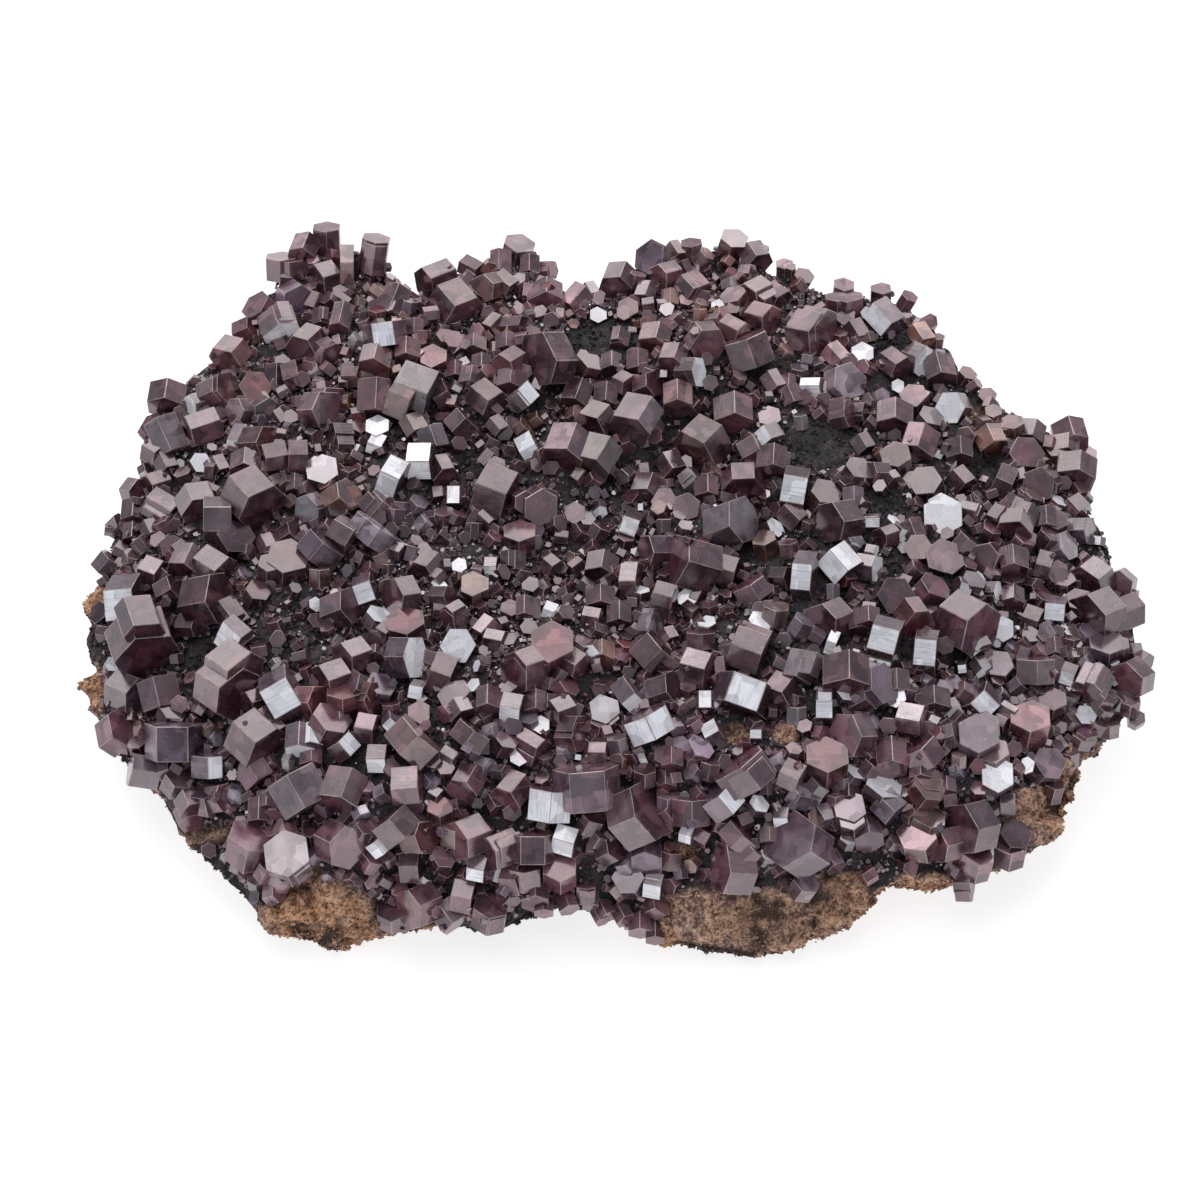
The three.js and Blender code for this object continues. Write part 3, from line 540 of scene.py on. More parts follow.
    (509, 894, 3.2, 2.6, 300, 60), (536, 894, 4, 3, 270, 50), (591, 900, 2.6, 2.2, 270, 60),
    (623, 913, 3, 2.4, 300, 60), (640, 924, 3.4, 2.6, 270, 60), (849, 813, 5, 3.6, 100, 35, 0, "p"),
    (867, 833, 4.6, 3, 280, 45, 0, "p"), (822, 817, 3.4, 2.6, 300, 60, 0, "g"),
    (881, 790, 5.4, 2, 70, 55, 0, "b"), (888, 806, 5, 3, 315, 75, 0, "g"), (890, 757, 5, 4, 270, 55),
    (869, 769, 3.2, 2.6, 60, 70), (921, 752, 6, 3.2, 125, 75), (851, 735, 6.2, 3.4, 180, 45),
    (911, 719, 4.8, 3.4, 350, 70, 0, "t"), (933, 701, 4.6, 2.8, 270, 60),
    (893, 698, 3.4, 2, 100, 20, 0, "b"), (874, 686, 6, 3.4, 20, 45, 0, "u"),
    (844, 695, 3, 1.6, 60, 40, 0, "b"), (824, 708, 4.8, 2.2, 0, 84, 30, "b"),
    (796, 715, 3, 2.6, 90, 80, 0, "g"), (782, 817, 3, 2, 0, 75, 0, "b"),
    (803, 886, 4, 2.6, 60, 45, 0, "p"), (376, 363, 5.2, 3.4, 260, 50),
    (434, 362, 4.2, 3, 90, 30, 0, "r"), (452, 345, 3.6, 2.6, 60, 40),
    (358, 342, 2.6, 1.8, 60, 60, 0, "w"), (321, 321, 3, 2.4, 270, 60),
    (318, 371, 2.6, 1.8, 30, 60, 0, "w"), (380, 508, 4.6, 3, 50, 80),
    (396, 515, 3.2, 2.6, 80, 70, 0, "g"), (417, 508, 3, 2.4, 60, 60, 0, "g"),
    (454, 498, 3.6, 2.6, 270, 75, 30, "b"), (424, 524, 2.6, 2, 45, 70, 0, "w"),
    (444, 519, 3.2, 2.6, 90, 60), (400, 552, 3, 1.8, 340, 60, 0, "p"),
    (460, 567, 2.4, 1.4, 100, 20, 0, "b"), (321, 576, 3.6, 2.6, 90, 75, 0, "o"),
    (314, 606, 2.4, 1.6, 30, 40, 0, "b"), (408, 628, 5.6, 3, 100, 45, 0, "r"),
    (378, 620, 4, 2, 60, 60, 0, "b"), (387, 633, 3, 2, 330, 60), (438, 588, 2.6, 1.6, 60, 50, 0, "b"),
    (443, 597, 3.6, 2.6, 0, 60), (511, 612, 3, 2, 90, 40, 0, "u"), (581, 533, 3, 2, 50, 60),
    (598, 534, 3.4, 2.6, 60, 75), (552, 567, 3.4, 2, 320, 60), (655, 551, 5, 3.4, 180, 60),
    (692, 482, 3.6, 2.4, 40, 75, 0, "w"), (706, 490, 4, 3, 270, 60), (764, 546, 4, 3, 100, 55, 0, "o"),
    (771, 531, 3.2, 2, 40, 50, 0, "b"), (777, 488, 2.8, 2, 50, 50, 0, "w"), (770, 463, 5, 3.6, 265, 60),
    (687, 600, 3, 1.8, 100, 20, 0, "b"), (646, 607, 2.4, 1.6, 70, 60, 0, "w"),
    (651, 629, 4.8, 2, 0, 55, 0, "w"), (669, 637, 2.8, 2, 300, 60), (707, 627, 2.8, 2, 100, 50, 0, "b"),
    (694, 628, 2, 1.6, 70, 60, 0, "b"), (773, 614, 4, 2.8, 80, 65, 0, "t"),
    (758, 625, 3.6, 1.8, 60, 40, 0, "b"), (788, 549, 3, 2.2, 100, 70, 0, "t"),
    (782, 578, 3.6, 2.6, 0, 55), (584, 648, 3.4, 2.2, 70, 60, 0, "t"), (574, 663, 4.2, 3, 330, 60),
    (822, 500, 5, 3.4, 60, 45), (852, 500, 3.6, 2.8, 270, 70, 0, "p"),
    (873, 523, 2.8, 2, 0, 78, 30, "b"), (891, 524, 2.4, 1.6, 60, 60, 0, "b"),
    (899, 532, 2.8, 2, 60, 70, 0, "b"), (886, 536, 3.4, 2.4, 200, 60),
    (809, 526, 2.6, 2, 80, 60, 0, "t"), (871, 553, 2.6, 1.4, 350, 70, 0, "b"),
    (852, 543, 3, 2, 50, 50, 0, "w"), (930, 590, 4.6, 2.4, 50, 50),
    (970, 585, 3.6, 2.4, 60, 50, 0, "u"), (976, 580, 2, 1.6, 40, 60, 0, "b"),
    (992, 591, 3, 1.6, 0, 60, 0, "b"), (963, 545, 4, 2.6, 50, 80), (800, 626, 3.4, 2.4, 60, 65, 0, "w"),
    (832, 643, 4, 1.4, 340, 80, 0, "b"), (677, 400, 4.8, 3.8, 270, 55, 0, "t"),
    (648, 387, 4.2, 2.8, 20, 50), (626, 385, 4, 2.6, 330, 45), (589, 368, 3.8, 2.6, 60, 50),
    (645, 294, 3.4, 2.8, 250, 60), (670, 300, 3, 2.4, 270, 70, 0, "t"),
    (731, 287, 2.8, 1.8, 20, 55, 0, "w"), (747, 274, 3, 2, 0, 60), (736, 302, 4, 3, 120, 50),
    (784, 271, 3, 2.4, 90, 50), (591, 293, 2.8, 2.4, 300, 60), (799, 373, 3, 2, 90, 60, 0, "g"),
    (879, 399, 2.8, 2, 30, 40, 0, "w"), (842, 416, 4.6, 2.6, 10, 60), (858, 413, 3, 2.6, 0, 60),
    (928, 421, 4.2, 2, 60, 50, 0, "g"), (895, 461, 4.8, 3, 100, 40),
    (936, 452, 2.4, 1.2, 60, 75, 0, "b"), (950, 466, 2.2, 1, 330, 70, 0, "b"),
    (155, 572, 4.6, 2.8, 340, 70), (170, 592, 4.4, 2.6, 30, 75), (243, 575, 2.4, 1.2, 40, 60, 0, "w"),
    (257, 596, 3.6, 2.8, 60, 40), (236, 541, 5.4, 3, 60, 30), (247, 469, 5, 3.4, 270, 45),
    (312, 702, 5, 3.4, 0, 50, 0, "r"), (333, 678, 5.4, 3.6, 200, 60),
    (358, 687, 4.6, 3, 150, 55, 0, "p"), (368, 700, 4.2, 3, 0, 50, 0, "r"),
    (345, 700, 5, 3.4, 90, 60, 0, "r"), (330, 725, 5.6, 3.6, 60, 50),
    (379, 690, 4.4, 3, 60, 50, 0, "u"), (457, 699, 4.8, 2.8, 120, 45, 0, "p"),
    (461, 711, 4, 2.4, 300, 60), (419, 693, 3.4, 2, 350, 75, 30, "b"),
    (395, 723, 3.6, 1.8, 45, 70, 30, "b"), (449, 757, 2.8, 2.2, 330, 75, 0, "w"),
    (431, 780, 2.6, 1.4, 60, 60, 0, "w"), (436, 795, 2.6, 1.6, 330, 70, 0, "t"),
    (383, 793, 2.8, 1.8, 30, 70, 0, "g"), (431, 804, 2.2, 1.2, 60, 40, 0, "b"),
    (441, 811, 3.6, 2.6, 90, 40, 0, "r"), (455, 808, 2.8, 2, 20, 70),
    (362, 814, 2.6, 1.4, 300, 60, 0, "w"), (365, 830, 3.8, 2.6, 60, 50),
    (423, 883, 2.2, 1.6, 60, 60, 0, "b"), (372, 860, 3.4, 2.4, 60, 50),
    (398, 891, 1.8, 1.2, 90, 70, 0, "g"), (530, 722, 2.8, 2, 100, 50, 0, "w"),
    (493, 732, 3, 1.8, 20, 60, 0, "w"), (484, 765, 2.8, 1.8, 340, 60, 0, "w"),
    (505, 745, 3.4, 2.4, 60, 50), (545, 760, 2.6, 1.8, 90, 60, 0, "p"),
    (488, 850, 2.8, 1.4, 60, 50, 0, "w"), (497, 871, 3, 1.4, 330, 60, 0, "b"),
    (506, 896, 2.4, 1.8, 60, 60, 0, "p"), (515, 878, 4.6, 2.6, 0, 60), (454, 832, 4, 3, 90, 60, 0, "t"),
    (415, 825, 4.4, 2.8, 60, 60, 0, "p"), (268, 800, 3.2, 2.2, 270, 70, 0, "t"),
    (237, 794, 3, 1.4, 60, 60, 0, "w"), (216, 738, 2.4, 1, 0, 50, 0, "w"),
    (172, 712, 4, 2.6, 60, 40, 0, "g"), (170, 768, 3.6, 2.4, 20, 60),
    (180, 783, 4.6, 2.8, 60, 50, 0, "g"), (195, 806, 5, 3, 300, 50), (190, 790, 3, 2, 0, 60, 0, "t"),
    (207, 800, 4, 3, 100, 60, 0, "p"), (290, 835, 3.4, 2, 300, 50, 0, "t"),
    (268, 871, 3.4, 2.4, 60, 60), (258, 880, 3, 2, 90, 40, 0, "g"), (283, 878, 3.4, 2.6, 60, 50),
    (276, 892, 3.4, 2.2, 20, 50), (292, 760, 3, 1.2, 350, 60, 0, "w"),
    (245, 754, 2.2, 1.4, 60, 40, 0, "w"), (312, 758, 3.4, 2.4, 270, 60), (340, 722, 3, 2, 270, 60),
    (618, 660, 3, 2, 60, 60), (566, 690, 3.4, 2, 50, 60), (560, 710, 4.2, 3, 200, 60),
    (548, 703, 3, 2, 270, 70), (652, 690, 3, 2, 60, 60, 0, "w"), (664, 690, 5, 3.4, 20, 60),
    (688, 690, 2.4, 1.6, 90, 50), (564, 753, 2.6, 2, 85, 70, 0, "w"),
    (643, 757, 2.2, 1, 20, 80, 0, "b"), (709, 770, 3, 2.4, 80, 75), (757, 806, 3, 1.4, 60, 45, 0, "b"),
    (769, 836, 3, 2, 270, 70, 0, "t"), (779, 762, 2.8, 1.6, 30, 60, 0, "w"),
    (544, 905, 3, 2.4, 270, 60), (567, 902, 3, 2.4, 290, 60), (605, 910, 2.8, 2.2, 300, 60),
    (657, 905, 3.6, 2, 30, 50), (655, 932, 3, 2.4, 270, 60), (600, 838, 3, 2, 60, 60, 0, "g"),
    (575, 857, 2.4, 1.6, 330, 60, 0, "t"), (590, 822, 3.6, 2.6, 60, 60), (610, 850, 4, 2.6, 30, 50),
    (646, 855, 5, 3.4, 270, 40, 0, "u"), (625, 862, 3.4, 1.8, 120, 60, 0, "w"),
    (586, 892, 2.8, 2.2, 90, 70), (765, 858, 2.6, 1.4, 60, 60, 0, "b"),
    (768, 866, 2.4, 1.6, 300, 60, 0, "g"), (666, 780, 3, 2.4, 270, 60), (672, 760, 3.6, 2.6, 270, 60),
    (645, 775, 3.4, 2.4, 90, 60), (832, 861, 3, 2.4, 300, 60, 0, "u"),
    (846, 842, 2.6, 1.2, 70, 60, 0, "b"), (893, 842, 2.2, 1.6, 60, 50, 0, "g"),
    (989, 832, 2.4, 1.4, 340, 60, 0, "w"), (991, 843, 2.4, 1.6, 70, 60, 0, "g"),
    (1001, 845, 2.4, 1.4, 60, 60, 0, "b"), (1010, 838, 5, 3, 60, 40),
    (950, 708, 3, 1.6, 300, 60, 0, "b"), (934, 724, 2.6, 1.4, 340, 70, 0, "w"),
    (943, 690, 2.6, 1.8, 60, 50, 0, "w"), (951, 686, 3, 2, 60, 50, 0, "w"),
    (925, 683, 2.6, 1.6, 330, 60, 0, "w"), (958, 760, 2.2, 1.8, 90, 70, 0, "t"),
    (957, 771, 2.4, 1.4, 30, 60, 0, "w"), (925, 790, 5, 3, 60, 40, 0, "r"), (945, 787, 3, 2, 270, 60),
    (896, 682, 3.8, 3, 270, 70), (907, 690, 2.6, 1.8, 60, 60, 0, "w"), (919, 772, 3.6, 2.4, 270, 60),
    (870, 724, 2.6, 1.6, 40, 50, 0, "w"), (876, 745, 2.8, 1.4, 40, 60, 0, "w"),
    (853, 775, 3, 1.4, 60, 60, 0, "b"), (848, 793, 3, 2.2, 270, 60), (843, 783, 2.8, 2, 90, 80),
    (811, 798, 3, 2, 60, 60, 0, "w"), (800, 795, 4, 2.4, 60, 60, 0, "w"), (835, 800, 3, 2.2, 90, 70),
    (871, 755, 3.4, 2, 60, 55, 0, "u"), (862, 700, 4, 3, 30, 60), (1012, 648, 2.6, 1, 60, 60, 0, "w"),
    (1072, 643, 2.2, 1.6, 90, 70, 0, "t"), (1065, 655, 3, 1.6, 20, 60),
    (1085, 635, 3.2, 2, 60, 50, 0, "w"), (1066, 632, 2.6, 1.2, 60, 60, 0, "b"),
    (1087, 664, 2.6, 1.4, 40, 60, 0, "w"), (1070, 721, 2.6, 1.6, 50, 60, 0, "t"),
    (1071, 711, 1.8, 1, 60, 60, 0, "w"), (1118, 701, 2.6, 2, 60, 60, 0, "g"),
    (1128, 704, 3.4, 2.4, 90, 50), (1095, 726, 3, 2, 60, 60), (1085, 735, 3.4, 2, 80, 50),
    (1016, 686, 2.8, 2, 40, 70, 0, "g"), (1035, 692, 2.6, 1.6, 60, 60, 0, "g"),
    (1064, 697, 3, 2, 60, 60, 0, "u"), (1068, 757, 3, 2.2, 90, 60, 0, "p"),
    (1080, 740, 3.4, 1.8, 70, 60, 0, "t"), (1042, 640, 3, 2, 60, 50), (1100, 700, 3.6, 2.4, 60, 50),
    (1140, 660, 3, 2.4, 330, 50), (1038, 600, 3.8, 2.6, 60, 60), (1010, 585, 3, 2, 90, 60),
    (1078, 605, 4, 3, 100, 40), (1064, 585, 3.6, 2.6, 100, 50), (1060, 548, 4.6, 2.6, 20, 50, 0, "w"),
    (1046, 540, 4, 2.6, 60, 60), (1095, 573, 4, 2.6, 320, 70, 0, "o"),
    (1106, 580, 3.4, 2, 320, 70, 0, "b"), (1030, 500, 3, 2, 60, 60),
    (1056, 504, 2.6, 1.4, 60, 60, 0, "b"), (1020, 545, 3.4, 2.6, 60, 60), (965, 568, 3, 2, 60, 60),
    (1120, 640, 3, 2.4, 60, 60),
]


# Where crystals at the rim stand higher than the rock's even top, it rises under them
seenTable = np.array([row[:3] for row in seenCrystals], float)
rimTufts, tuftHeights = meetsRock(seenTable[:, 0], seenTable[:, 1])
rimTufts = np.concatenate([rimTufts, tuftHeights[:, None]], axis=1)[tuftHeights > 0.15]
tuftWidth = 2.6


def surfaceHeight(x, y):
    # The top, raised by the largest of the bells under the crystals at the rim
    raised = np.zeros_like(x)
    for placeX, placeY, _, tall in rimTufts:
        bell = np.exp(-((x - placeX) ** 2 + (y - placeY) ** 2) / tuftWidth ** 2)
        raised = np.maximum(raised, (tall + 0.4) * bell)
    return topHeight(x, y) + raised


def rockFinish():
    # Manganese-black crust over brown ochre rock: the ochre attribute, broken up by noise,
    # chooses between them; both are grainy
    finish = Finish("crustedRock")
    place = finish.place()
    patch = finish.attribute("ochre")
    paintedHollowShade = finish.attribute("paintedHollowShade")
    brokenUp = finish.noise(place, 0.0022, 3, 0.65)
    border = patch + (brokenUp - 0.5) * 1.1
    coarse = finish.noise(place, 0.005, 1)
    middling = finish.noise(place, 0.0013, 2, 0.6)
    fine = finish.noise(place, 0.00045, 2, 0.7)
    golden = patch.between(0.7, 1.0) * 0.8 + (coarse - 0.5)
    ochre = finish.layers((0.34, 0.20, 0.16, 1), [
        (golden, (0.68, 0.335, 0.16, 1)),
        (middling.between(0.5, 0.66) * 0.7, (0.86, 0.54, 0.37, 1)),
        (middling.between(0.48, 0.34) * 0.75, (0.055, 0.028, 0.022, 1)),
        (fine.between(0.48, 0.35) * 0.75, (0.038, 0.018, 0.013, 1)),
        (fine.between(0.54, 0.66) * 0.7, (0.95, 0.64, 0.44, 1)),
        # Painted shade darkening the hollows of the ochre rock
        (paintedHollowShade.between(0.45, 0.85) * 0.85, (0.035, 0.020, 0.017, 1)),
    ])
    # Dark brown between the black crust and the ochre
    brown = finish.blend(fine.between(0.4, 0.65), (0.045, 0.026, 0.023, 1), (0.16, 0.10, 0.08, 1))
    colour = finish.layers((0.013, 0.014, 0.018, 1), [
        (coarse.between(0.3, 0.7), (0.034, 0.030, 0.034, 1)),
        (fine.between(0.55, 0.72) * 0.5, (0.11, 0.095, 0.10, 1)),
        (border.between(-0.05, 0.25) * 0.7, brown),
        (border.between(0.30, 0.55), ochre),
    ])
    height = fine * 0.7 + middling * 0.8
    return finish.close(finish.shader(
        Base_Color=colour, Roughness=0.82 - fine.between(0.5, 0.8) * 0.3,
        Normal=finish.bump(height, 0.0006, 1.0)))


rockMesh = {"round": 480, "top": 110, "side": 34, "under": 12}

# Heights of the rock's relief in millimetres
relief = {
    "lumps": (0.5, 0.35), "pits": 1.4, "grains": (0.35, 0.2), "ledges": (1.5, 0.9),
    "steps": 0.7, "stepsEach": 2.5, "sideInset": 0.8, "knobs": 2.1, "clefts": 2.5,
}


def rockGrid():
    # Rings from the middle of the top to the rim, down the undercut side and in again on the
    # flat underside, each ring following the rim's outline
    top, side, under = rockMesh["top"], rockMesh["side"], rockMesh["under"]
    angle = np.arange(rockMesh["round"]) / rockMesh["round"] * 2 * math.pi
    radius, rimHeight = rimAt(angle)
    foot = 1 - rockForm["footInset"] * np.minimum(1, rimHeight / rockForm["fullInset"])
    ring = np.arange(1, top + side + under)[:, None]
    onTop = np.sin(np.minimum(1, ring / top) * math.pi / 2)
    down = np.clip((ring - top) / side, 0, 1)
    inward = np.clip((ring - top - side) / under, 0, 1)
    spread = np.where(ring <= top, onTop, (1 + (foot - 1) * down ** 2) * (1 - inward))
    x = np.cos(angle) * radius * spread
    y = np.sin(angle) * radius * spread
    rimRise = surfaceHeight(np.cos(angle) * radius, np.sin(angle) * radius)
    z = np.where(ring <= top, surfaceHeight(x, y), rimRise * (1 - down))
    grid = np.stack([x, y, z], axis=-1)
    outward = np.stack([np.cos(angle) + 0 * ring, np.sin(angle) + 0 * ring, 0.25 + 0 * x], axis=-1)
    upward = slopeNormal(x, y)
    share = np.clip((ring - top + 8) / 12.0, 0, 1)[..., None]
    normal = upward * (1 - share) + outward * share
    return grid, normal / np.linalg.norm(normal, axis=-1, keepdims=True), ring, down


def makeRock():
    grid, normal, ring, down = rockGrid()
    shape = grid.shape[:2]
    points = grid.reshape(-1, 3)
    bare, ochre = bareness(points)
    onSide = np.broadcast_to(down, shape).ravel()
    # Lumps of crust, sharper grains where the rock is bare, and ledges down the side
    large, small = relief["lumps"]
    lumps = large * grain(points, 3.1, 1) + small * grain(points, 1.4, 2)
    pits = -relief["pits"] * np.clip(grain(points, 2.6, 3) - 0.2, 0, 1)
    large, small = relief["grains"]
    grains = large * np.abs(grain(points, 1.0, 4)) + small * grain(points, 0.6, 5)
    sideShare = np.clip(onSide * 4, 0, 1)
    flat, even = relief["ledges"]
    ledges = flat * grain(points * np.array([0.5, 0.5, 1.8]), 3.6, 6) + even * grain(points, 6.0, 8)
    each = relief["stepsEach"]
    stepped = relief["steps"] * np.round(grain(points, 4.2, 9) * each) / each
    grown = (lumps + (pits + grains) * np.maximum(0.4 + 0.8 * ochre, sideShare)
             + (ledges + stepped - relief["sideInset"]) * sideShare + 0.5 * stepped * ochre)
    # Lumps and clefts of the ochre rock, with painted shade in the hollows
    knobs = (relief["knobs"] * grain(points, 4.6, 11)
             + relief["clefts"] * (0.35 - np.abs(grain(points, 2.4, 14))))
    grown = (grown + knobs * np.maximum(ochre, 0.5 * sideShare)) * np.clip(points[:, 2] / 1.5, 0, 1)
    # Painted shade, darker where the knobs sink, broken up by noise
    paintedHollowShade = np.clip(0.45 - 0.3 * knobs + 0.3 * grain(points, 1.1, 13), 0, 1)
    points = points + normal.reshape(-1, 3) * grown[:, None]
    points[:, 2] = np.maximum(points[:, 2], 0)
    sideOchre = np.clip(0.5 + 0.9 * grain(points, 9.0, 7), 0, 1) * np.clip(onSide * 5, 0, 1)
    front = np.clip((-points[:, 1] - 20) / 15, 0, 1)
    ochre = np.maximum(ochre, sideOchre * (0.35 + 0.65 * front))
    rings, around = shape
    index = np.arange(rings * around).reshape(rings, around)
    after = np.roll(index, -1, axis=1)
    quads = np.stack([index[:-1], index[1:], after[1:], after[:-1]], axis=-1).reshape(-1, 4)
    middle = np.array([[0, 0, surfaceHeight(np.array([0.01]), np.array([0.0]))[0]], [0, 0, 0]])
    points = np.concatenate([points, middle])
    topFan = np.stack([np.full(around, len(points) - 2), index[0], after[0]], axis=-1)
    underFan = np.stack([np.full(around, len(points) - 1), after[-1], index[-1]], axis=-1)
    ochre = np.concatenate([ochre, [0, 0.3]])
    paintedHollowShade = np.concatenate([paintedHollowShade, [0, 0]])
    attributes = {"ochre": ("POINT", "FLOAT", ochre), "paintedHollowShade": ("POINT", "FLOAT", paintedHollowShade)}
    rock = putPiece("rock", points, [quads, topFan, underFan], rockSkin, attributes, smooth=True)
    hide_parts("matrix")
    normals = np.broadcast_to(normal, shape + (3,)).reshape(-1, 3)
    return points, np.concatenate([normals, [[0, 0, 1], [0, 0, -1]]]), ochre, onSide


grainForm = {"count": 11000, "least": 0.3, "most": 1.3, "fewLarge": 3, "sunk": 0.27}


def makeGrains(points, normals, ochre, onSide):
    # Loose-looking grains and small lumps set into the bare rock and its side: eight-sided
    # pebbles, each with six corners at uneven distances
    onSide = np.concatenate([onSide, [0, 1]])
    weight = np.clip(ochre - 0.35, 0, 1) + 0.35 * (onSide > 0) * (onSide < 0.9)
    weight = weight * (points[:, 2] > 0.4)
    chosen = chance.choice(len(points), grainForm["count"], p=weight / weight.sum())
    count = len(chosen)
    size = sizesOf(grainForm, count)
    sunk = normals[chosen] * (grainForm["sunk"] * size[:, None])
    middle = points[chosen] + chance.normal(0, 0.15, (count, 3)) - sunk
    axes = tiltedAxes(normals[chosen], 0, 90)
    corner = np.array([[1, 0, 0], [-1, 0, 0], [0, 1, 0], [0, -1, 0], [0, 0, 1], [0, 0, -1]], float)
    own = corner[None] * chance.uniform(0.35, 0.62, (count, 6, 1)) * size[:, None, None]
    own = own + chance.normal(0, 0.08, (count, 6, 3)) * size[:, None, None]
    places = middle[:, None] + np.einsum("nij,njk->nik", own, axes)
    places[..., 2] = np.maximum(places[..., 2], 0.0)
    octants = np.array([[0, 2, 4], [2, 1, 4], [1, 3, 4], [3, 0, 4],
                        [2, 0, 5], [1, 2, 5], [3, 1, 5], [0, 3, 5]])
    faces = ((np.arange(count) * 6)[:, None, None] + octants[None]).reshape(-1, 3)
    tone = np.repeat(np.clip(ochre[chosen] + chance.normal(0, 0.2, count), 0, 1), 6)
    putPiece("rockGrains", places.reshape(-1, 3), [faces], rockSkin,
             {"ochre": ("POINT", "FLOAT", tone)})


rockSkin = rockFinish()
makeGrains(*makeRock())
print("rock made")


# Tones of the crystals' surfaces, named by a letter: b with a painted mirror highlight, t tan, g grey,
# p pink, r red, u purple, o orange-brown, w light grey, n plain
tones = {
    "n": (0.126, 0.055, 0.066), "b": (0.11, 0.072, 0.088), "t": (0.180, 0.108, 0.100),
    "g": (0.110, 0.083, 0.098), "p": (0.145, 0.090, 0.106), "r": (0.156, 0.050, 0.053),
    "u": (0.113, 0.068, 0.096), "o": (0.195, 0.090, 0.060), "w": (0.290, 0.250, 0.280),
}

# How clear and dark the body under each tone is
clearness = {"n": 0.5, "b": 0.3, "t": 0.2, "g": 0.2, "p": 0.35, "r": 0.75, "u": 0.5, "o": 0.5, "w": 0.0}

# Of these strengths, the first is a pale coat on upward faces, partly dusty and partly a painted top
# sheen; the second pales the edges, partly wear and partly a painted highlight; the last is the glow
# painted on faces with a mirror highlight
skin = {"filmAndSheen": 0.05, "edgeWearAndHighlight": 0.7, "planes": 0.5, "depth": 0.9, "paintedGlow": 0.27}


